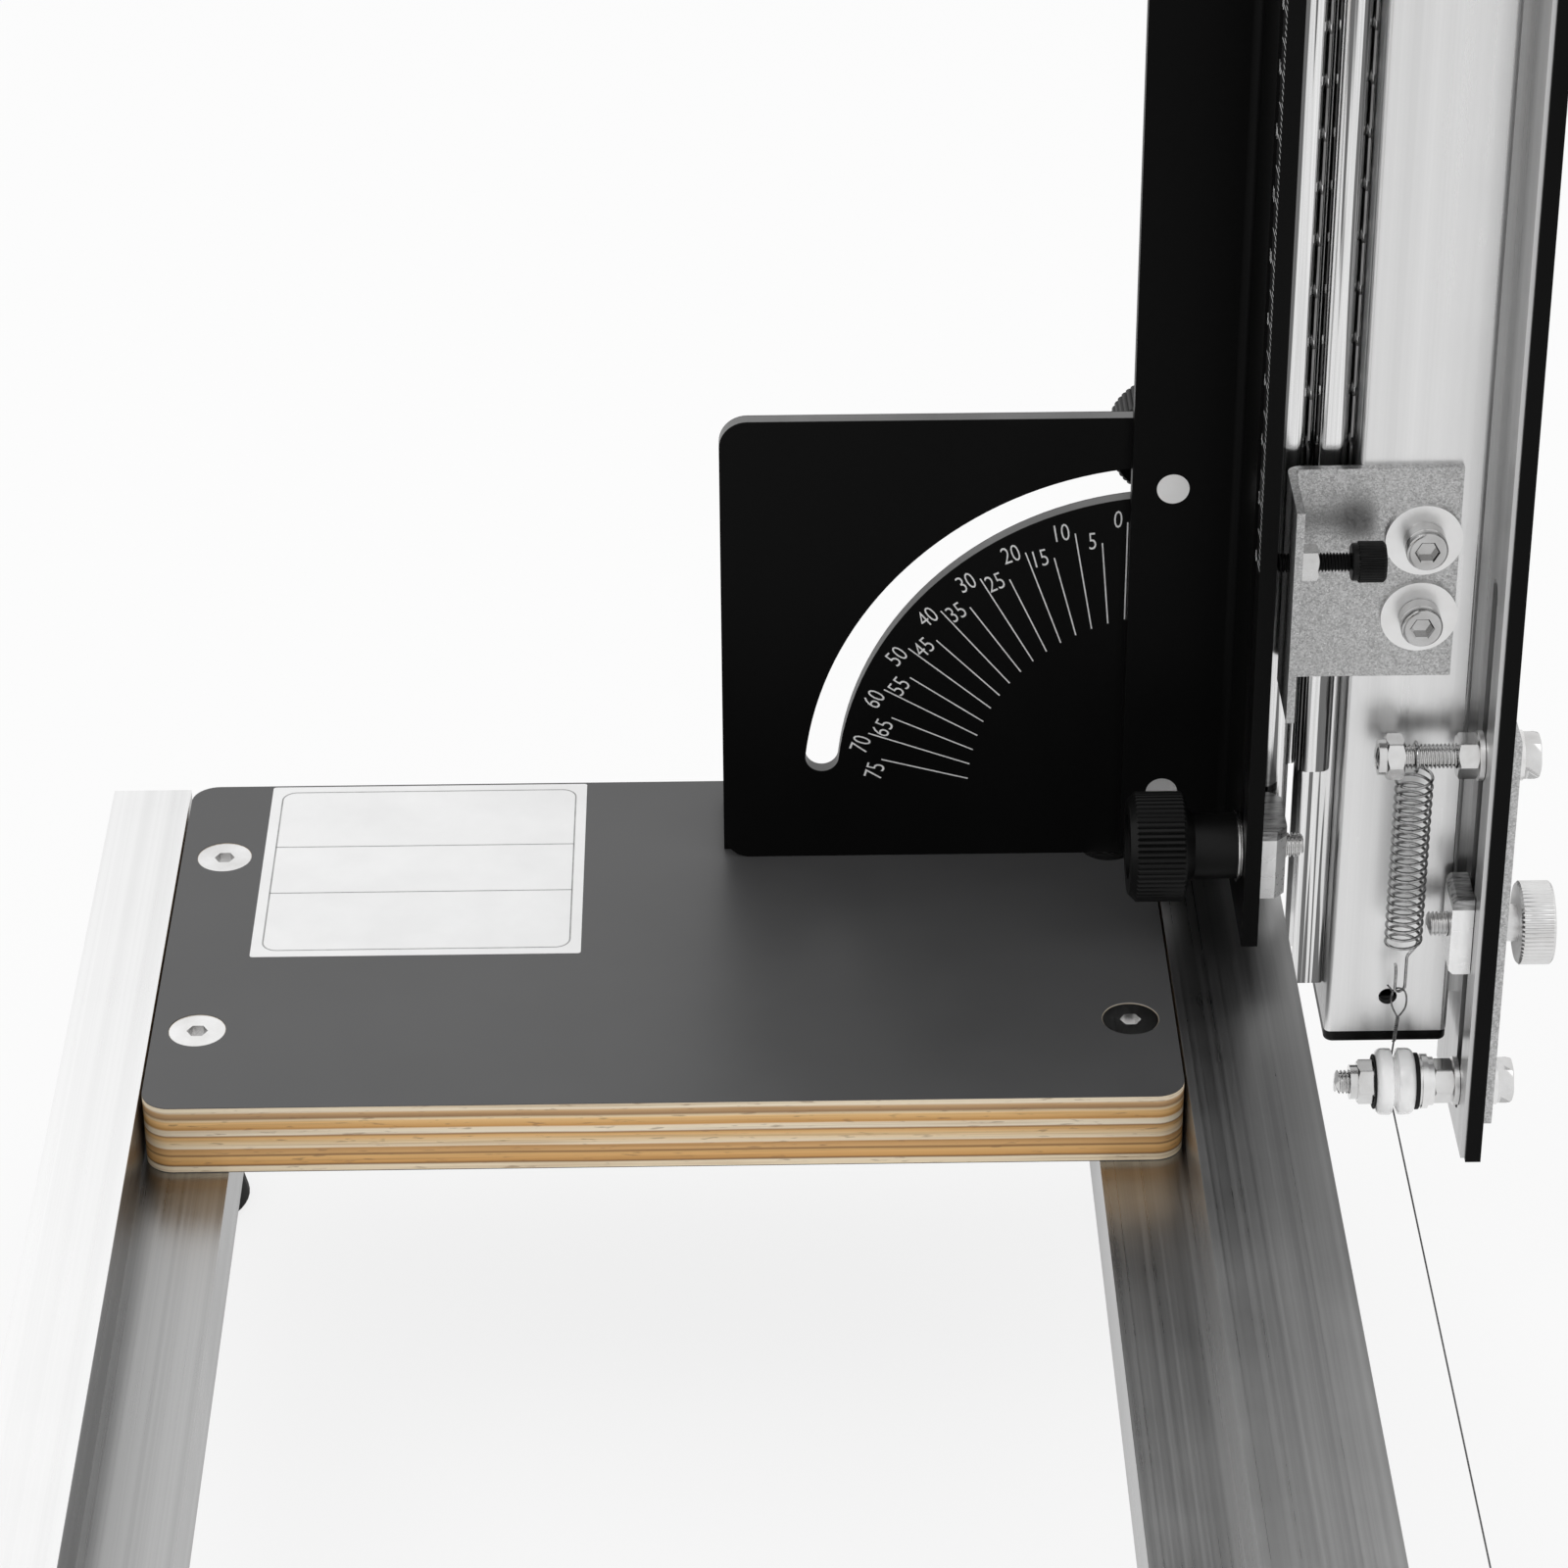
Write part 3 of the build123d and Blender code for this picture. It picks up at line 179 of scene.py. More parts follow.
# drawn aluminium: fine lines along one axis, with broad soft bands and a few scuffs; below the top of the
# named node the faces get painted shade, a darker colour at the level sides
def drawnAluminium(name, along, level, spread, shadeTopNode=None, sides=0.4):
    finish = Finish(name, Metallic=1.0)
    fine = {"X": (0.0012, 1, 1), "Y": (1, 0.0012, 1), "Z": (1, 1, 0.0012)}[along]
    lines = finish.noise(800, 3, fine, 0.6)
    bands = finish.noise(110, 2, fine)
    scuffs = finish.noise(24, 5)
    blend = lines * 0.4 + bands * 0.45 + scuffs * 0.15
    scored = finish.ramp(finish.noise(330, 1, fine), (0.27, 0.75), (0.31, 0.0))
    shade = finish.ramp(blend, (0.34, grey(level - spread)), (0.66, grey(level)))
    shade = finish.mix(scored, shade, grey((level - spread) * 0.55))
    if shadeTopNode is not None:
        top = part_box(shadeTopNode)[1].z
        # painted shade: faces more than a millimetre below the node's top are coloured darker than the top
        below = finish.axis("Z") < top - 1.0 * mm
        side = finish.ramp(blend, (0.34, grey(sides * 0.6)), (0.66, grey(sides)))
        shade = finish.mix(below, shade, side)
    finish.set("Base Color", shade)
    finish.set("Roughness", finish.ramp(lines * 0.6 + scuffs * 0.4, (0.3, 0.24), (0.75, 0.42)))
    finish.bump(lines, 0.12, 0.00008)
    return finish


# black powder coat: a fine orange-peel skin, slightly greyer where it is rubbed
def powderCoat(name, level, sheet=None):
    finish = Finish(name, Specular_IOR_Level=0.06)
    peel = finish.noise(900, 2)
    rubbed = finish.noise(14, 4, (1, 1, 0.35))
    shade = finish.ramp(rubbed, (0.3, grey(level)), (0.8, grey(level * 1.7)))
    if sheet is not None:
        # the sheet's cut edges, between its two faces, are painted paler: a painted reflection of the white
        # around them
        front, back = sorted(place(0, y, 0).y for y in sheet)
        off = finish.math("ABSOLUTE", finish.axis("Y") - (front + back) / 2)
        edge = finish.ramp(rubbed, (0.3, grey(0.13)), (0.8, grey(0.26)))
        shade = finish.mix(off < (back - front) / 2 - 0.0003, shade, edge)
    finish.set("Base Color", shade)
    finish.set("Roughness", finish.ramp(rubbed, (0.2, 0.34), (0.8, 0.46)))
    finish.bump(peel, 0.12, 0.0001)
    return finish


# bright zinc and plain steel
def platedSteel(name, level, spread, roughness):
    finish = Finish(name, Metallic=1.0)
    cloud = finish.noise(90, 3)
    fine = finish.noise(1600, 2)
    finish.set("Base Color", finish.ramp(cloud, (0.3, grey(level - spread, 0.01)), (0.7, grey(level))))
    finish.set("Roughness", cloud * 0.12 + (roughness - 0.06))
    finish.bump(fine, 0.08, 0.00006)
    return finish


# galvanised sheet: a grey spangle with light and dark grains
def galvanised(name):
    finish = Finish(name, Metallic=1.0)
    cells = {"Vector": finish.place(), "Scale": 2200.0, "Randomness": 1.0}
    grains = finish.node("TexVoronoi", {"feature": "F1"}, cells, take=1)
    flakes = finish.node("SeparateColor", inputs={0: grains})
    cloud = finish.noise(700, 5)
    blend = flakes * 0.5 + cloud * 0.5
    shade = finish.ramp(blend, (0.2, grey(0.34)), (0.5, grey(0.47)), (0.8, grey(0.60)))
    glints = finish.ramp(finish.noise(1500, 1), (0.66, 0.0), (0.72, 0.7))
    finish.set("Base Color", finish.mix(glints, shade, grey(0.85)))
    finish.set("Roughness", finish.ramp(blend, (0.25, 0.48), (0.8, 0.3)))
    finish.bump(cloud, 0.15, 0.0001)
    return finish


# moulded plastic and rubber
def moulded(name, level, roughness, shine=0.5, coat=0.0):
    finish = Finish(name, Specular_IOR_Level=shine, Coat_Weight=coat)
    grain = finish.noise(1400, 2)
    cloud = finish.noise(60, 3)
    finish.set("Base Color", finish.ramp(cloud, (0.3, grey(level)), (0.8, grey(level * 1.5))))
    finish.set("Roughness", cloud * 0.14 + (roughness - 0.07))
    finish.bump(grain, 0.2, 0.0001)
    return finish


# birch plywood with a dark film on both faces, seen as pale and brown layers at the edges
def filmPlywood(name, boardNode):
    bottom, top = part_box(boardNode)
    thickness = top.z - bottom.z
    finish = Finish(name)
    height = (finish.axis("Z") - bottom.z) / thickness
    wander = finish.noise(9, 2, (1, 1, 0.2)) * 0.05 - 0.025
    layers = finish.ramp(
        height + wander,
        (0.00, (0.88, 0.72, 0.50, 1)), (0.09, (0.92, 0.78, 0.57, 1)), (0.11, (0.22, 0.11, 0.04, 1)),
        (0.14, (0.70, 0.37, 0.12, 1)), (0.24, (0.82, 0.50, 0.20, 1)), (0.26, (0.26, 0.13, 0.05, 1)),
        (0.29, (0.72, 0.43, 0.18, 1)), (0.36, (0.56, 0.30, 0.11, 1)), (0.38, (0.94, 0.80, 0.60, 1)),
        (0.46, (0.84, 0.62, 0.36, 1)), (0.53, (0.80, 0.47, 0.18, 1)), (0.56, (0.36, 0.19, 0.08, 1)),
        (0.58, (0.95, 0.84, 0.66, 1)), (0.65, (0.90, 0.76, 0.56, 1)), (0.67, (0.64, 0.33, 0.10, 1)),
        (0.77, (0.88, 0.56, 0.24, 1)), (0.80, (0.88, 0.70, 0.46, 1)), (0.83, (0.34, 0.20, 0.10, 1)),
        (0.90, (0.66, 0.42, 0.21, 1)), (0.93, (0.95, 0.83, 0.64, 1)), (1.00, (0.88, 0.74, 0.54, 1)),
    )
    streaks = finish.noise(120, 5, (0.06, 0.06, 6.0), 0.65)
    pores = finish.noise(900, 2, (0.15, 0.15, 1.0))
    wood = finish.mix(finish.ramp(streaks, (0.48, 0.0), (0.76, 0.7)), layers, (0.34, 0.17, 0.05, 1))
    wood = finish.mix(finish.ramp(pores, (0.62, 0.0), (0.72, 0.5)), wood, (0.22, 0.12, 0.06, 1))
    cloud = finish.noise(16, 3)
    film = finish.ramp(cloud, (0.3, (0.056, 0.056, 0.057, 1)), (0.75, (0.068, 0.068, 0.069, 1)))
    filmed = finish.math("ABSOLUTE", height - 0.5) > 0.5 - 0.00025 / thickness
    finish.set("Base Color", finish.mix(filmed, wood, film))
    finish.set("Roughness", 0.62 - filmed * 0.22 + cloud * 0.06)
    finish.bump(streaks + finish.noise(1300, 2) * 0.4, 0.12, 0.0001)
    return finish


# bright rolled metal, with thin dark lines along it at random where streak is above zero
def polished(name, along, level, roughness, streak=0.0):
    finish = Finish(name, Metallic=1.0)
    fine = {"X": (0.01, 1, 1), "Y": (1, 0.01, 1), "Z": (1, 1, 0.01)}[along]
    lines = finish.noise(1500, 2, fine)
    shade = finish.ramp(lines, (0.35, grey(level - 0.14)), (0.65, grey(level)))
    drawn = finish.ramp(finish.noise(330, 2, fine), (0.455, streak), (0.485, 0.0))
    finish.set("Base Color", finish.mix(drawn, shade, grey(0.05)))
    finish.set("Roughness", lines * 0.12 + roughness)
    return finish


# milled blocks: bright faces, and a top with brushed strokes that is painted much darker as painted shade
def milled(name, node, level):
    bottom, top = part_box(node)
    finish = Finish(name, Metallic=1.0)
    strokes = finish.noise(420, 2, (1, 0.03, 0.3))
    brushed = finish.noise(700, 3, (0.2, 1, 1))
    height = (finish.axis("Z") - bottom.z) / (top.z - bottom.z)
    face = finish.ramp(strokes, (0.35, grey(level - 0.06)), (0.65, grey(level)))
    # painted shade: the top's colour is far darker than the faces, with its brushed strokes on it
    upper = finish.ramp(brushed, (0.35, grey(0.16)), (0.65, grey(0.42)))
    finish.set("Base Color", finish.mix(height > 0.865, face, upper))
    finish.set("Roughness", brushed * 0.2 + 0.2)
    finish.bump(strokes, 0.15, 0.00008)
    return finish


plateFaces = (142.0, 147.0)   # front and back of the far protractor plate
coatLevel = 0.0028

finishes = {
    # the two rails are one aluminium: the left rail's higher level is painted light, the right rail's lower
    # level painted shade
    "leftRailLit": drawnAluminium("leftRailLit", "Y", 0.80, 0.12, "rail_left", 0.42),
    "rightRailShaded": drawnAluminium("rightRailShaded", "Y", 0.46, 0.14),
    "tube": drawnAluminium("tube", "Z", 0.84, 0.12),
    "beamTube": drawnAluminium("beamTube", "Y", 0.74, 0.14),
    "crossBeam": drawnAluminium("crossBeam", "X", 0.62, 0.16),
    "board": filmPlywood("board", "board_far"),
    "coat": powderCoat("coat", coatLevel),
    "farPlate": powderCoat("farPlate", coatLevel, plateFaces),
    "nearPlate": powderCoat("nearPlate", coatLevel, [across(y, "near") for y in plateFaces]),
    "zinc": platedSteel("zinc", 0.70, 0.14, 0.16),
    "washer": platedSteel("washer", 0.86, 0.10, 0.34),
    # the socket screws' lower level is painted shade: a darker copy of the plated zinc
    "screwSteelShaded": platedSteel("screwSteelShaded", 0.54, 0.14, 0.14),
    "screwHead": platedSteel("screwHead", 0.74, 0.12, 0.22),
    "knobSilver": platedSteel("knobSilver", 0.76, 0.10, 0.3),
    # the stud faces' high level is painted light: a brighter copy of the plated steel
    "studFaceLit": platedSteel("studFaceLit", 0.97, 0.06, 0.4),
    "spangle": galvanised("spangle"),
    "plastic": moulded("plastic", 0.0035, 0.34, 0.16),
    "rubber": moulded("rubber", 0.010, 0.7, 0.2),
    "slide": polished("slide", "Z", 0.84, 0.10, 0.85),
    "cage": platedSteel("cage", 0.30, 0.12, 0.35),
    "liner": drawnAluminium("liner", "Z", 0.60, 0.20),
    "stopFarBlock": milled("stopFarBlock", "stop_block_far", 0.90),
    "stopNearBlock": milled("stopNearBlock", "stop_block_near", 0.90),
    "clampBlock": milled("clampBlock", "clamp_blocks", 0.88),
    "roller": moulded("roller", 0.86, 0.14, 0.5, 0.6),
    "springWire": polished("springWire", "X", 0.42, 0.1),
    "hotWire": polished("hotWire", "X", 0.22, 0.3),
}
finishNodes = {
    "leftRailLit": ("rail_left",),
    "rightRailShaded": ("rail_right",),
    "tube": ("arm_far", "arm_near"),
    "beamTube": ("bow_beam",),
    "crossBeam": ("cross_beam_far", "cross_beam_near"),
    "board": ("board_far", "board_near"),
    "coat": ("mast_far", "mast_near", "wire_plate_far", "wire_plate_near"),
    "farPlate": ("protractor_far",),
    "nearPlate": ("protractor_near",),
    "zinc": (
        "plate_screws", "beam_bolts", "foot_stems", "pivot_nuts", "stop_screw_far", "stop_screw_near",
        "bracket_screws", "lock_nuts", "bow_screws", "carriage_bolts", "carriage_nuts", "wire_knob_far",
        "wire_knob_near",
    ),
    "washer": ("stud_washers", "bracket_washers", "carriage_washers"),
    "screwHead": ("board_screws",),
    "studFaceLit": ("mast_studs",),
    "spangle": ("corner_angles", "bracket_far", "bracket_near", "carriage_strips"),
    "plastic": (
        "mitre_knob_far", "mitre_knob_near", "stop_knob_far", "stop_knob_near", "lock_screw_far",
        "lock_screw_near", "tube_caps", "grip",
    ),
    "rubber": ("foot_pads",),
    "slide": ("slide_outers", "slide_middles", "slide_inners"),
    "cage": ("outer_cages", "inner_cages"),
    "liner": ("plate_liners",),
    "stopFarBlock": ("stop_block_far",),
    "stopNearBlock": ("stop_block_near",),
    "clampBlock": ("clamp_blocks",),
    "roller": ("roller_far", "roller_near"),
    "springWire": ("spring",),
    "hotWire": ("hot_wire",),
}
for finishName, nodeNames in finishNodes.items():
    for nodeName in nodeNames:
        nodes[nodeName].data.materials.clear()
        nodes[nodeName].data.materials.append(finishes[finishName].material)
print("finishes on the packed nodes")


def newPiece(name, form, finish, body, stands=(), crease=32):
    for face in form.faces:
        face.smooth = True
    for edge in form.edges:
        edge.smooth = edge.calc_face_angle(pi) < radians(crease)
    mesh = bpy.data.meshes.new(name)
    form.to_mesh(mesh)
    form.free()
    piece = bpy.data.objects.new(name, mesh)
    bpy.context.scene.collection.objects.link(piece)
    mesh.materials.append(finish.material)
    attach(piece, body)
    if stands:
        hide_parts(*stands)


# a shape made in its own millimetres, added to a form at its spot
def join(form, own, spot):
    bmesh.ops.recalc_face_normals(own, faces=own.faces)
    bmesh.ops.transform(own, matrix=spot, verts=own.verts)
    part = bpy.data.meshes.new("part")
    own.to_mesh(part)
    own.free()
    form.from_mesh(part)
    bpy.data.meshes.remove(part)


# an outline of (radius, distance) points, spun all the way round its own z
def spunShape(outline, steps):
    own = bmesh.new()
    points = [own.verts.new((radius, 0, along)) for radius, along in outline]
    lines = [own.edges.new(pair) for pair in zip(points, points[1:])]
    bmesh.ops.spin(
        own, geom=points + lines, cent=(0, 0, 0), axis=(0, 0, 1), angle=tau, steps=steps, use_merge=True
    )
    bmesh.ops.remove_doubles(own, verts=own.verts, dist=0.002)
    return own


# a turned shape; ribs cut grooves between them, beyond a radius
def addTurned(form, outline, spot, sides=48, ribs=0, beyond=0.0, depth=0.0):
    steps = ribs * 4 if ribs else sides
    own = spunShape(outline, steps)
    for vert in own.verts if ribs else ():
        radius = vert.co.xy.length
        if radius > beyond and round(atan2(vert.co.y, vert.co.x) / tau * steps) % 4 < 2:
            vert.co.xy *= (radius - depth) / radius
    join(form, own, spot)


# a screw thread along its own z, closed at both ends
def addThread(form, radius, pitch, length, spot, sides=14):
    own = bmesh.new()
    root = radius - pitch * 0.6
    ridge = [(root, 0), (radius, 0.36), (radius, 0.48), (root, 0.84), (root, 1)]
    points = [own.verts.new((far, 0, share * pitch)) for far, share in ridge]
    lines = [own.edges.new(pair) for pair in zip(points, points[1:])]
    steps = round((length / pitch - 1) * sides)
    bmesh.ops.spin(
        own, geom=points + lines, cent=(0, 0, 0), axis=(0, 0, 1), dvec=(0, 0, pitch / sides),
        angle=tau * steps / sides, steps=steps,
    )
    bmesh.ops.remove_doubles(own, verts=own.verts, dist=pitch * 0.02)
    rim = [edge for edge in own.edges if edge.is_boundary]
    drawn = bmesh.ops.extrude_edge_only(own, edges=rim)["geom"]
    tips = [item for item in drawn if isinstance(item, bmesh.types.BMVert)]
    lower = [vert for vert in tips if vert.co.z < length / 2]
    upper = [vert for vert in tips if vert.co.z >= length / 2]
    bmesh.ops.pointmerge(own, verts=lower, merge_co=(0, 0, 0))
    bmesh.ops.pointmerge(own, verts=upper, merge_co=(0, 0, length))
    join(form, own, spot)


def addHex(form, flats, height, spot):
    own = bmesh.new()
    around = flats / sqrt(3)
    bmesh.ops.create_cone(own, cap_ends=True, segments=6, radius1=around, radius2=around, depth=height)
    bmesh.ops.translate(own, vec=(0, 0, height / 2), verts=own.verts)
    outer = [vert for vert in own.verts if vert.co.z > height / 2]
    bmesh.ops.bevel(
        own, geom=outer, offset=flats * 0.13, affect="VERTICES", segments=2, profile=0.5, material=-1
    )
    join(form, own, spot)


# a curve's mesh, added to a form at its place in the model
def addCurve(form, curve, matrix=Matrix.Identity(4)):
    made = bpy.data.objects.new("curve", curve)
    bpy.context.scene.collection.objects.link(made)
    bpy.context.view_layer.update()
    seen = made.evaluated_get(bpy.context.evaluated_depsgraph_get())
    mesh = bpy.data.meshes.new_from_object(seen)
    mesh.transform(matrix)
    form.from_mesh(mesh)
    bpy.data.objects.remove(made)
    bpy.data.meshes.remove(mesh)


# round wire along points in the model
def addWire(form, points, radius, kind="POLY"):
    curve = bpy.data.curves.new("wire", "CURVE")
    curve.dimensions = "3D"
    curve.bevel_depth = radius * mm
    curve.bevel_resolution = 2
    curve.use_fill_caps = True
    curve.resolution_u = 6
    line = curve.splines.new(kind)
    line.points.add(len(points) - 1)
    for point, spot in zip(line.points, points):
        point.co = (*spot, 1)
    if kind == "NURBS":
        line.order_u = 3
        line.use_endpoint_u = True
    addCurve(form, curve)


def arc(middle, radius, first, last, steps, spread):
    # points on a circle; spread turns (across, up) in millimetres into a point in the model
    for i in range(steps + 1):
        angle = radians(first + (last - first) * i / steps)
        yield spread(middle[0] + radius * cos(angle), middle[1] + radius * sin(angle))


# the marks on the black coat, in a worn white
marks = Finish("marks", Roughness=0.6)
marks.set("Base Color", marks.ramp(marks.noise(500, 3), (0.3, grey(0.62)), (0.7, grey(0.82))))
digits = {"narrow": 0.7, "raised": 0.02, "thinned": 0.012, "size": 1.38}
mitreScale = {
    "pivot": (162.3, 26.2), "front": plateFaces[0] - 0.03, "step": 5, "last": 75, "offset": -13.7,
    "inner": 61.7, "outerTens": 96.9, "outerFives": 91.0, "width": 0.42, "raised": 0.02,
    "digitHeight": 6.4, "digitWidth": 3.9, "digitGap": 1.3, "digitDrop": 1.9,
}


def addBar(form, corner, size, matrix):
    bar = bmesh.ops.create_cube(form, size=1.0)["verts"]
    middle = [c + s / 2 for c, s in zip(corner, size)]
    bmesh.ops.scale(form, vec=size, verts=bar)
    bmesh.ops.translate(form, vec=middle, verts=bar)
    bmesh.ops.transform(form, matrix=matrix, verts=bar)


def addNumber(form, text, height, right, base, matrix):
    curve = bpy.data.curves.new("digits", "FONT")
    curve.body = text
    curve.size = height * digits["size"]
    curve.align_x = "RIGHT"
    curve.resolution_u = 3
    curve.extrude = digits["raised"]
    curve.offset = -digits["thinned"] * height
    narrow = Matrix.Diagonal((digits["narrow"], 1, 1, 1))
    addCurve(form, curve, matrix @ Matrix.Translation((right, base, 0)) @ narrow)


def buildMitreScale(end):
    form = bmesh.new()
    size = mitreScale
    pivotX, pivotZ = size["pivot"]
    pivot = Matrix.Translation(place(pivotX, size["front"], pivotZ))
    # the face is drawn flat, x right and y up, then stood upright on the plate
    stand = Matrix.Scale(mm, 4) @ Matrix.Rotation(pi / 2, 4, "X")
    for angle in range(0, size["last"] + 1, size["step"]):
        top = size["outerTens"] if angle % 10 == 0 else size["outerFives"]
        spot = pivot @ stand @ Matrix.Rotation(radians(angle), 4, "Z")
        corner = (size["offset"], size["inner"], -size["raised"])
        addBar(form, corner, (size["width"], top - size["inner"], 2 * size["raised"]), spot)
        right = size["offset"] - size["digitGap"]
        base = top - size["digitDrop"]
        if end == "near":
            # this scale is mirrored as a whole below, so its digits are turned over first
            spot = spot @ Matrix.Translation((right, base, 0)) @ Matrix.Scale(-1, 4, (1, 0, 0))
            right, base = size["digitWidth"] * len(str(angle)), 0
        addNumber(form, str(angle), size["digitHeight"], right, base, spot)
    if end == "near":
        middle = Matrix.Translation((0, -middleY, 0))
        bmesh.ops.scale(form, vec=(1, -1, 1), verts=form.verts, space=middle)
        bmesh.ops.recalc_face_normals(form, faces=form.faces)
    newPiece("mitre_scale_" + end, form, marks, "frame")


for end in ("far", "near"):
    buildMitreScale(end)
print("mitre scales")

depthScale = {
    "flangeLeft": 183.6, "front": 76.5, "margin": 0.6, "zero": 140.0, "top": 340, "step": 2, "width": 0.35,
    "long": 9.0, "short": 3.5, "digitEvery": 20, "digitHeight": 4.2, "digitGap": 1.2, "digitRoom": 9.0,
}


def buildDepthScale(end):
    form = bmesh.new()
    size = depthScale
    left, room, tall = size["flangeLeft"], size["digitRoom"], size["digitHeight"]
    front = across(size["front"] + size["margin"], end)
    # seen from the left, so the digits read from the front edge at the far end
    stand = Matrix.Rotation(-pi / 2, 4, "Z") @ Matrix.Rotation(pi / 2, 4, "X")
    gap = size["digitGap"] + (room if end == "far" else 0.0)
    start = across(size["front"] + size["long"] + gap, end)
    for rise in range(0, int(size["top"] - size["zero"]) + 1, size["step"]):
        long = size["long"] if rise % 10 == 0 else size["short"]
        height = size["zero"] + rise
        corner = (-0.02, 0 if end == "far" else -long, -size["width"] / 2)
        spot = Matrix.Translation(place(left, front, height)) @ Matrix.Scale(mm, 4)
        addBar(form, corner, (0.03, long, size["width"]), spot)
        if rise % size["digitEvery"] == 0:
            spot = Matrix.Translation(place(left - 0.01, start, height)) @ stand @ Matrix.Scale(mm, 4)
            addNumber(form, str(rise // 10), tall, room, -tall / 2, spot)
    newPiece("depth_scale_" + end, form, marks, "mast")


for end in ("far", "near"):
    buildDepthScale(end)
print("depth scales")

# a bare sheet with a thin printed frame, stuck on the far board
labelSheet = {
    "left": -133.0, "right": -27.0, "front": 84.5, "back": 190.0, "thickness": 0.12, "rounding": 1.0,
    "inset": 3.4, "corner": 5.0, "line": 0.5, "ink": 0.02, "dividers": (0.36, 0.65),
}
paper = Finish("paper", Roughness=0.5)
paper.set("Base Color", paper.ramp(paper.noise(40, 4), (0.3, grey(0.84)), (0.7, grey(0.90))))
paper.bump(paper.noise(900, 2), 0.05, 0.00005)
printed = Finish("printed", Roughness=0.5)
printed.set("Base Color", printed.ramp(printed.noise(300, 3), (0.3, grey(0.26)), (0.7, grey(0.40))))


def addPlate(form, left, front, right, back, bottom, thickness, corner=0.0, rim=0.0):
    own = bmesh.new()
    spots = ((left, front, 0), (right, front, 0), (right, back, 0), (left, back, 0))
    own.faces.new([own.verts.new(spot) for spot in spots])
    if corner:
        bmesh.ops.bevel(
            own, geom=own.verts[:], offset=corner, affect="VERTICES", segments=8, profile=0.5, material=-1
        )
    if rim:
        middle = own.faces[:]
        bmesh.ops.inset_region(own, faces=middle, thickness=rim, use_boundary=True, use_even_offset=True)
        bmesh.ops.delete(own, geom=middle, context="FACES_ONLY")
    raised = bmesh.ops.extrude_face_region(own, geom=own.faces[:], use_keep_orig=True)["geom"]
    top = [item for item in raised if isinstance(item, bmesh.types.BMVert)]
    bmesh.ops.translate(own, vec=(0, 0, thickness), verts=top)
    join(form, own, spotAt(0, 0, bottom))


def buildLabel():
    size = labelSheet
    left, right, front, back = size["left"], size["right"], size["front"], size["back"]
    form = bmesh.new()
    addPlate(form, left, front, right, back, 0, size["thickness"], size["rounding"])
    newPiece("label_sheet", form, paper, "frame")
    form = bmesh.new()
    left, right = left + size["inset"], right - size["inset"]
    front, back = front + size["inset"], back - size["inset"]
    addPlate(form, left, front, right, back, size["thickness"], size["ink"], size["corner"], size["line"])
    for share in size["dividers"]:
        y = back + (front - back) * share
        addPlate(form, left, y, right, y + size["line"], size["thickness"], size["ink"])
    newPiece("label_lines", form, printed, "frame")


buildLabel()
print("label sheet")

# threaded pieces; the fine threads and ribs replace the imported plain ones
carriage = {
    "y": 88.0, "hookZ": 67.4, "rollerZ": -56.0, "hookTip": 224.0, "rollerTip": 217.7, "seat": 270.4,
    "flats": 13.0, "head": 5.3, "thread": 4.0, "pitch": 1.25,
}
knobOverlap = 0.5   # how far a thread reaches into its knob


def buildCarriageBolts():
    form = bmesh.new()
    size = carriage
    for end in ("far", "near"):
        y = across(size["y"], end)
        for z, tip in ((size["hookZ"], size["hookTip"]), (size["rollerZ"], size["rollerTip"])):
            addThread(form, size["thread"], size["pitch"], size["seat"] - tip, spotAt(tip, y, z, "right"))
            addHex(form, size["flats"], size["head"], spotAt(size["seat"], y, z, "right"))
    newPiece("hex_bolts", form, finishes["zinc"], "carriage", ["carriage_bolts"])


buildCarriageBolts()

stopScrew = {
    "y": 91.0, "z": 33.5, "from": 166.38, "to": 203.6, "thread": 4.0, "pitch": 1.25,
    "washers": ((11.5, 181.8, 0.85), (11.0, 182.72, 0.68)), "bore": 4.02,   # radius, left face, thickness
}


def addRing(form, radius, bore, thickness, spot, eased=0.15):
    outline = [
        (bore, 0), (radius - eased, 0), (radius, eased), (radius, thickness - eased),
        (radius - eased, thickness), (bore, thickness), (bore, 0),
    ]
    addTurned(form, outline, spot)


def buildStopScrew(end):
    form = bmesh.new()
    size = stopScrew
    y, z = across(size["y"], end), size["z"]
    length = size["to"] - size["from"]
    addThread(form, size["thread"], size["pitch"], length, spotAt(size["from"], y, z, "right"))
    for radius, x, thickness in size["washers"]:
        addRing(form, radius, size["bore"], thickness, spotAt(x, y, z, "right"))
    newPiece("stop_thread_" + end, form, finishes["zinc"], "stop_" + end, ["stop_screw_" + end])


lockScrew = {
    "y": 82.5, "z": 140.0, "tip": 189.0, "head": 212.1, "headLength": 10.5, "radius": 6.4, "thread": 3.0,
    "pitch": 1.0, "ribs": 36, "rib": 0.35,
}


def buildLockScrew(end):
    form = bmesh.new()
    size = lockScrew
    y, z = across(size["y"], end), size["z"]
    length = size["head"] + knobOverlap - size["tip"]
    addThread(form, size["thread"], size["pitch"], length, spotAt(size["tip"], y, z, "right"))
    r, long = size["radius"], size["headLength"]
    outline = [
        (0, 0), (r - 1.0, 0), (r - 0.6, 0.4), (r - 0.6, 1.9), (r, 2.3), (r, long - 0.8), (r - 0.8, long),
        (r * 0.55, long), (r * 0.5, long - 0.5), (0, long - 0.5),
    ]
    spot = spotAt(size["head"], y, z, "right")
    addTurned(form, outline, spot, ribs=size["ribs"], beyond=r - 0.3, depth=size["rib"])
    newPiece("lock_knob_" + end, form, finishes["plastic"], "lock_screw_" + end, ["lock_screw_" + end])


wireKnob = {
    "z": 5.0, "tip": 244.0, "face": 269.0, "neck": 4.0, "neckRadius": 6.0, "radius": 13.5, "length": 11.0,
    "ribs": 54, "rib": 0.42,
}


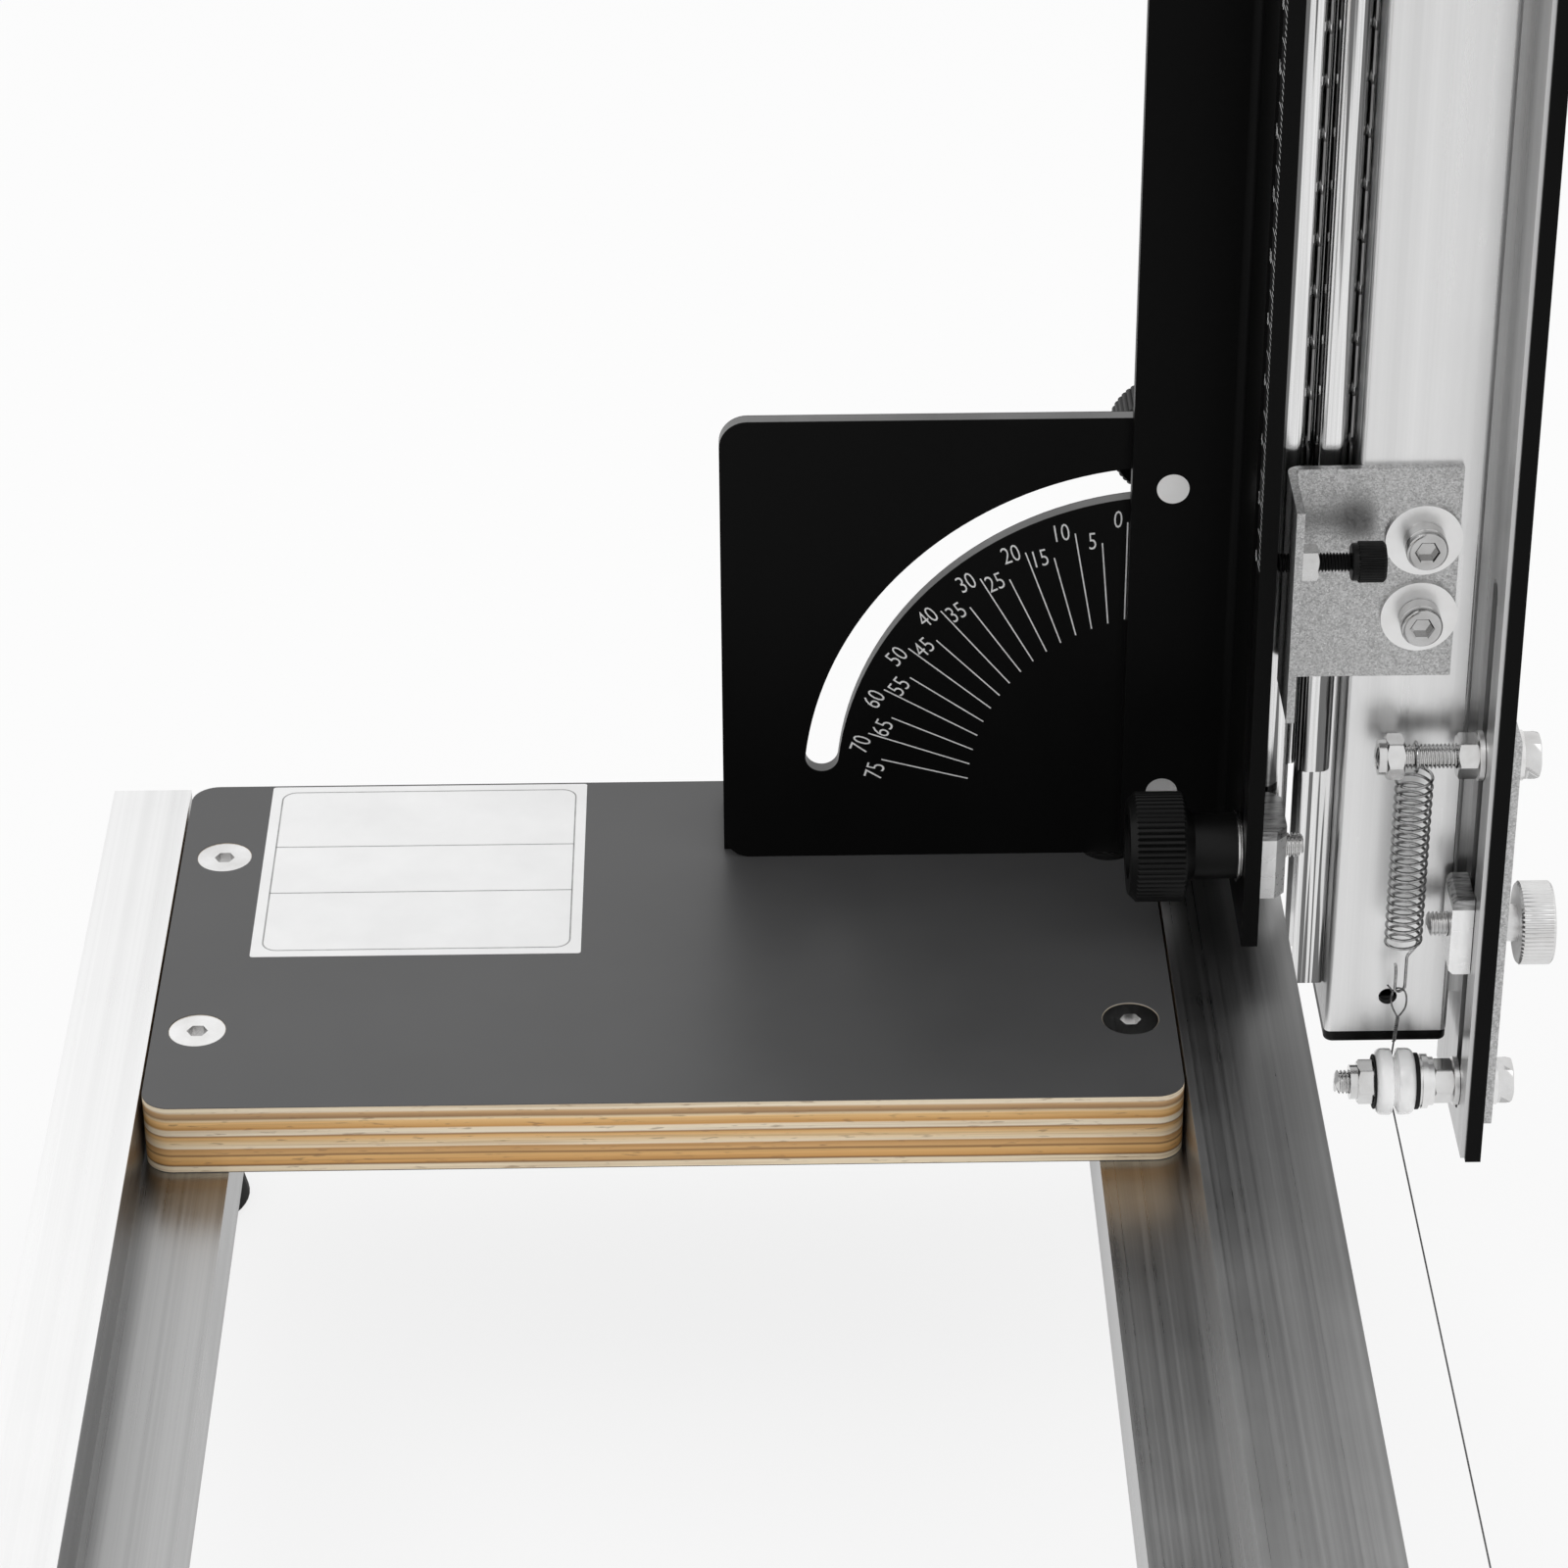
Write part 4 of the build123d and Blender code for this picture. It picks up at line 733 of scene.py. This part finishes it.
def buildWireKnob(end):
    form = bmesh.new()
    size = wireKnob
    y, z = across(carriage["y"], end), size["z"]
    length = size["face"] + knobOverlap - size["tip"]
    addThread(form, carriage["thread"], carriage["pitch"], length, spotAt(size["tip"], y, z, "right"))
    r, neck, long = size["radius"], size["neck"], size["neck"] + size["length"]
    outline = [
        (0, 0), (size["neckRadius"], 0), (size["neckRadius"], neck), (r - 0.8, neck), (r, neck + 0.8),
        (r, long - 0.8), (r - 0.8, long), (0, long),
    ]
    spot = spotAt(size["face"], y, z, "right")
    addTurned(form, outline, spot, ribs=size["ribs"], beyond=r - 0.1, depth=size["rib"])
    newPiece("silver_knob_" + end, form, finishes["knobSilver"], "wire_knob_" + end, ["wire_knob_" + end])


roller = {
    "left": 230.8, "width": 12.9, "radius": 11.0, "bore": 4.05, "groove": 6.3, "grooveRadius": 8.2, "sides": 64,
    "darkRings": ((9.3, 8.15, 1.3, 12.9), (9.0, 7.7, 0.6, -0.6)),   # radius, bore, thickness, start
}


def buildRoller(end):
    form = bmesh.new()
    r, w, g = roller["radius"], roller["width"], roller["groove"]
    bore, deep = roller["bore"], roller["grooveRadius"]
    left, y, z = roller["left"], across(carriage["y"], end), carriage["rollerZ"]
    outline = [
        (bore, 0), (8.6, 0), (9.0, 0.15), (10.0, 0.5), (10.65, 1.1), (10.95, 1.9), (r, 2.6), (r, g - 1.5),
        (r - 0.3, g - 1.0), (deep, g - 0.45), (deep, g + 0.45), (r - 0.3, g + 1.0), (r, g + 1.5), (r, w - 2.6),
        (10.95, w - 1.9), (10.65, w - 1.1), (10.0, w - 0.5), (9.0, w - 0.15), (8.6, w), (bore, w), (bore, 0),
    ]
    addTurned(form, outline, spotAt(left, y, z, "right"), roller["sides"])
    newPiece("ceramic_roller_" + end, form, finishes["roller"], "roller_" + end, ["roller_" + end])
    # two near-black rings beside the roller: a 1.3 mm one on its right side and a 0.6 mm one on its left
    form = bmesh.new()
    for radius, inner, thickness, start in roller["darkRings"]:
        addRing(form, radius, inner, thickness, spotAt(left + start, y, z, "right"))
    newPiece("seal_rings_" + end, form, finishes["rubber"], "roller_" + end)


socketScrew = {
    "x": 236.2, "z": (113.4, 140.2), "front": 87.4, "radius": 6.5, "head": 8.0, "socket": 3.46, "deep": 2.6,
    "line": 2.6, "thread": 4.0, "length": 4.0,
}


def buildSocketScrews():
    form = bmesh.new()
    size = socketScrew
    r, line, socket = size["radius"], size["line"], size["socket"]
    outline = [
        (0, size["deep"]), (socket, size["deep"]), (socket, 0.45), (socket + 0.5, 0.0), (r - 1.5, 0.0),
        (r - 0.7, 0.05), (r - 0.2, 0.3), (r, 0.8), (r, line), (r - 0.22, line + 0.15),
        (r - 0.22, line + 0.4), (r, line + 0.55), (r, size["head"] - 0.3), (r - 0.3, size["head"]),
        (size["thread"], size["head"]), (size["thread"], size["head"] + size["length"]),
        (0, size["head"] + size["length"]),
    ]
    for end in ("far", "near"):
        for z in size["z"]:
            spot = spotAt(size["x"], across(size["front"], end), z, "back" if end == "far" else "front")
            own = spunShape(outline, 48)
            # the socket's circles become hexagons
            for vert in own.verts:
                if vert.co.z < size["deep"] + 0.01 and vert.co.xy.length < socket + 0.6:
                    vert.co.xy *= cos(pi / 6) / cos(atan2(vert.co.y, vert.co.x) % (pi / 3) - pi / 6)
            join(form, own, spot)
    newPiece("socket_screws", form, finishes["screwSteelShaded"], "bow", ["bracket_screws"])


buildSocketScrews()

for end in ("far", "near"):
    buildStopScrew(end)
    buildLockScrew(end)
    buildWireKnob(end)
    buildRoller(end)
print("screws, knobs and rollers")

feet = {
    "x": (-170.0, 183.5), "y": 170.0, "bottom": -139.0, "top": -50.05, "radius": 5.0, "pitch": 1.5,
    "flats": 17.0, "nuts": ((-139.0, "up"), (-54.0, "down")), "nut": 8.0,
}


def buildFeet():
    form = bmesh.new()
    size = feet
    length = size["top"] - size["bottom"]
    for end in ("far", "near"):
        y = across(size["y"], end)
        for x in size["x"]:
            addThread(form, size["radius"], size["pitch"], length, spotAt(x, y, size["bottom"]))
            for z, toward in size["nuts"]:
                addHex(form, size["flats"], size["nut"], spotAt(x, y, z, toward))
    newPiece("threaded_stems", form, finishes["zinc"], "frame", ["foot_stems"])


buildFeet()

spring = {
    "x": 237.1, "coil": 5.7, "wire": 0.5, "bottom": -3.1, "top": 60.1, "coils": 20, "sides": 28, "loop": 4.8,
    "loopZ": 67.15, "hookBottom": -20.5, "hookHalf": 1.9, "hookTurn": 25,
}


def buildSpring():
    form = bmesh.new()
    size = spring
    own = bmesh.new()
    rise = (size["top"] - size["bottom"]) / (size["coils"] * size["sides"])
    upright = Matrix.Rotation(pi / 2, 4, "X")
    section = bmesh.ops.create_circle(own, segments=8, radius=size["wire"], matrix=upright)
    bmesh.ops.translate(own, vec=(size["coil"], 0, 0), verts=own.verts)
    turn = radians(size["hookTurn"])
    bmesh.ops.rotate(own, cent=(0, 0, 0), matrix=Matrix.Rotation(turn, 3, "Z"), verts=own.verts)
    steps = size["coils"] * size["sides"] + round((90 - size["hookTurn"]) / 360 * size["sides"])
    bmesh.ops.spin(
        own, geom=section["verts"] + own.edges[:], cent=(0, 0, 0), axis=(0, 0, 1), dvec=(0, 0, rise),
        angle=tau * steps / size["sides"], steps=steps,
    )
    bmesh.ops.holes_fill(own, edges=[edge for edge in own.edges if edge.is_boundary])
    join(form, own, spotAt(size["x"], carriage["y"], size["bottom"]))
    height = size["bottom"] + rise * steps

    def loopSpot(across, up):
        return place(size["x"], carriage["y"] + across, up)

    start = [loopSpot(size["coil"], height), loopSpot(size["coil"] - 0.1, height + 2.0)]
    loop = list(arc((0, size["loopZ"]), size["loop"], -14, 262, 28, loopSpot))
    addWire(form, start + loop, size["wire"])

    def hookSpot(across, up):
        return place(size["x"] + across * cos(turn), carriage["y"] + across * sin(turn), up)

    coil, bottom, half = size["coil"], size["bottom"], size["hookHalf"]
    eye = size["hookBottom"] + half
    outline = [
        (coil, bottom), (coil - 0.2, bottom - 1.6), (3.6, bottom - 3.2), (half, bottom - 4.6),
        (half, bottom - 7), (half, eye + 1), (half, eye - 1.6), (0, eye - 2.3), (-half, eye - 1.6),
        (-half, eye + 1), (-half, bottom - 8), (-half - 0.5, bottom - 6.5),
    ]
    route = [hookSpot(*spot) for spot in outline]
    addWire(form, route, size["wire"], "NURBS")
    newPiece("spring_coil", form, finishes["springWire"], "carriage", ["spring"])


buildSpring()

hotWire = {
    "radius": 0.3, "lead": 8.55, "eyeTop": -19.6, "eyeFoot": -31.0, "eyeHalf": 2.5, "eyeTurn": -20.0,
    "twist": 0.42, "twistTurns": 6, "twistLength": 13.0, "twistSteps": 40, "bolt": 4.4, "boltDrop": 12.0,
}


def buildHotWire():
    form = bmesh.new()
    size = hotWire
    x, y, wheel = spring["x"], carriage["y"], carriage["rollerZ"]

    def side(end):
        return lambda along, up: place(x, across(y + along, end), up)

    runs = []
    for end, top in (("far", size["eyeFoot"]), ("near", carriage["hookZ"] - size["boltDrop"])):
        # the angle from straight up to the point where the wire meets the groove
        meets = degrees(acos(size["lead"] / (top - wheel)))
        bend = list(arc((0, wheel), size["lead"], 90 - meets, -90, 14, side(end)))
        start = side(end)(0, top)
        runs.append([start] + bend)
        addTwist(form, start, bend[0], size)
    addWire(form, runs[0] + runs[1][::-1], size["radius"])

    turn = radians(size["eyeTurn"])

    def eye(across, up):
        return place(x + across * cos(turn), y + across * sin(turn), up)

    half, top, foot = size["eyeHalf"], size["eyeTop"], size["eyeFoot"]
    teardrop = [
        (0, foot), (half * 0.6, foot + 2.4), (half, foot + 5), (half, top - 2.4), (half * 0.5, top),
        (-half * 0.5, top), (-half, top - 2.4), (-half, foot + 5), (-half * 0.6, foot + 2.4), (0, foot),
    ]
    whisker = [
        (-half * 0.9, top - 3.4), (-half * 0.8, top - 2.0), (-half - 0.6, top - 0.6), (-half - 1.6, top + 0.4),
    ]
    for outline in (teardrop, whisker):
        addWire(form, [eye(*spot) for spot in outline], size["radius"], "NURBS")
    # the near end goes once round its bolt
    bolt, ring, drop = carriage["hookZ"], side("near"), size["boltDrop"]
    loop = [ring(0, bolt - drop), ring(2.0, bolt - 8.0)]
    loop += list(arc((0, bolt), size["bolt"], -28, 208, 20, ring))
    loop += [ring(-2.0, bolt - 8.0), ring(0, bolt - drop)]
    addWire(form, loop, size["radius"])
    newPiece("taut_wire", form, finishes["hotWire"], "carriage", ["hot_wire"])


# two strands wound round each other along a straight run
def addTwist(form, start, toward, size):
    along = (toward - start).normalized()
    sideways = Vector((1, 0, 0))
    third = along.cross(sideways)
    steps = size["twistSteps"]
    for shift in (0, pi):
        strand = []
        for i in range(steps + 1):
            angle = shift + tau * size["twistTurns"] * i / steps
            out = (sideways * cos(angle) + third * sin(angle)) * size["twist"] * mm
            strand.append(start + along * (size["twistLength"] * mm * i / steps) + out)
        addWire(form, strand, size["radius"] * 0.9)


buildHotWire()
print("feet, spring and wire")


# stage: floor, lights and camera
studio = {"floor": 0.9, "floorSize": 30, "floorWhite": 0.82, "worldDiffuse": 0.84, "worldSeen": 1.0}
floorFinish = Finish("floor", Roughness=0.9)
floorFinish.set("Base Color", grey(studio["floor"]))
form = bmesh.new()
bmesh.ops.create_grid(form, x_segments=1, y_segments=1, size=studio["floorSize"])
mesh = bpy.data.meshes.new("floor")
form.to_mesh(mesh)
form.free()
floor = bpy.data.objects.new("floor", mesh)
bpy.context.scene.collection.objects.link(floor)
mesh.materials.append(floorFinish.material)


def whiteStage(finish, share):
    # what the camera and mirrors see is mostly plain white, and the rest keeps the object's shadow
    tree = finish.tree
    path = tree.nodes.new("ShaderNodeLightPath")
    glow = tree.nodes.new("ShaderNodeEmission")
    seen = Value(finish, path.outputs["Is Camera Ray"])
    for ray in ("Is Glossy Ray", "Is Transmission Ray"):
        seen = finish.math("MAXIMUM", seen, Value(finish, path.outputs[ray]))
    blend = tree.nodes.new("ShaderNodeMixShader")
    finish.plug(blend.inputs[0], seen * share)
    tree.links.new(finish.surface.outputs[0], blend.inputs[1])
    tree.links.new(glow.outputs[0], blend.inputs[2])
    output = [node for node in tree.nodes if node.type == "OUTPUT_MATERIAL"][0]
    tree.links.new(blend.outputs[0], output.inputs[0])


whiteStage(floorFinish, studio["floorWhite"])

world = bpy.data.worlds.new("studio")
bpy.context.scene.world = world
world.use_nodes = True
sky = world.node_tree
sky.nodes.clear()
back = sky.nodes.new("ShaderNodeBackground")
skyOut = sky.nodes.new("ShaderNodeOutputWorld")
sky.links.new(back.outputs[0], skyOut.inputs[0])
path = sky.nodes.new("ShaderNodeLightPath")
seen = sky.nodes.new("ShaderNodeMath")
seen.operation = "MAXIMUM"
sky.links.new(path.outputs["Is Camera Ray"], seen.inputs[0])
sky.links.new(path.outputs["Is Glossy Ray"], seen.inputs[1])
level = sky.nodes.new("ShaderNodeMapRange")
level.inputs["To Min"].default_value = studio["worldDiffuse"]
level.inputs["To Max"].default_value = studio["worldSeen"]
sky.links.new(seen.outputs[0], level.inputs["Value"])
sky.links.new(level.outputs[0], back.inputs["Strength"])
back.inputs["Color"].default_value = (1, 1, 1, 1)

lampAim = (60, 40, 60)
lamps = {
    "key": {"at": (-900, -900, 1900), "size": 0.9, "power": 7},
    "fill": {"at": (1500, -700, 1300), "size": 1.0, "power": 3},
    "back": {"at": (-300, 1500, 1500), "size": 1.0, "power": 1.2},
}
for name, lamp in lamps.items():
    light = bpy.data.lights.new(name, "AREA")
    light.size = lamp["size"]
    light.energy = lamp["power"]
    lit = bpy.data.objects.new(name, light)
    bpy.context.scene.collection.objects.link(lit)
    lit.location = place(*lamp["at"])
    lit.rotation_euler = (place(*lampAim) - lit.location).to_track_quat("-Z", "Y").to_euler()

viewpoint = {
    "at": (23.47, -1234.77, 851.29), "lens": 112.5, "right": (0.99988, -0.01459, -0.00545),
    "down": (-0.01217, -0.51318, -0.85820), "ahead": (0.00972, 0.85816, -0.51329),
}
camera = bpy.data.cameras.new("camera")
camera.lens = viewpoint["lens"]
camera.sensor_width = 36.0
camera.clip_start = 0.05
camera.clip_end = 60.0
eye = bpy.data.objects.new("camera", camera)
bpy.context.scene.collection.objects.link(eye)
right, down, ahead = (Vector(viewpoint[way]) for way in ("right", "down", "ahead"))
turned = Matrix((right, -down, -ahead)).transposed().to_4x4()
eye.matrix_world = Matrix.Translation(place(*viewpoint["at"])) @ turned
bpy.context.scene.camera = eye
bpy.context.scene.view_settings.view_transform = "Standard"
print("stage set")
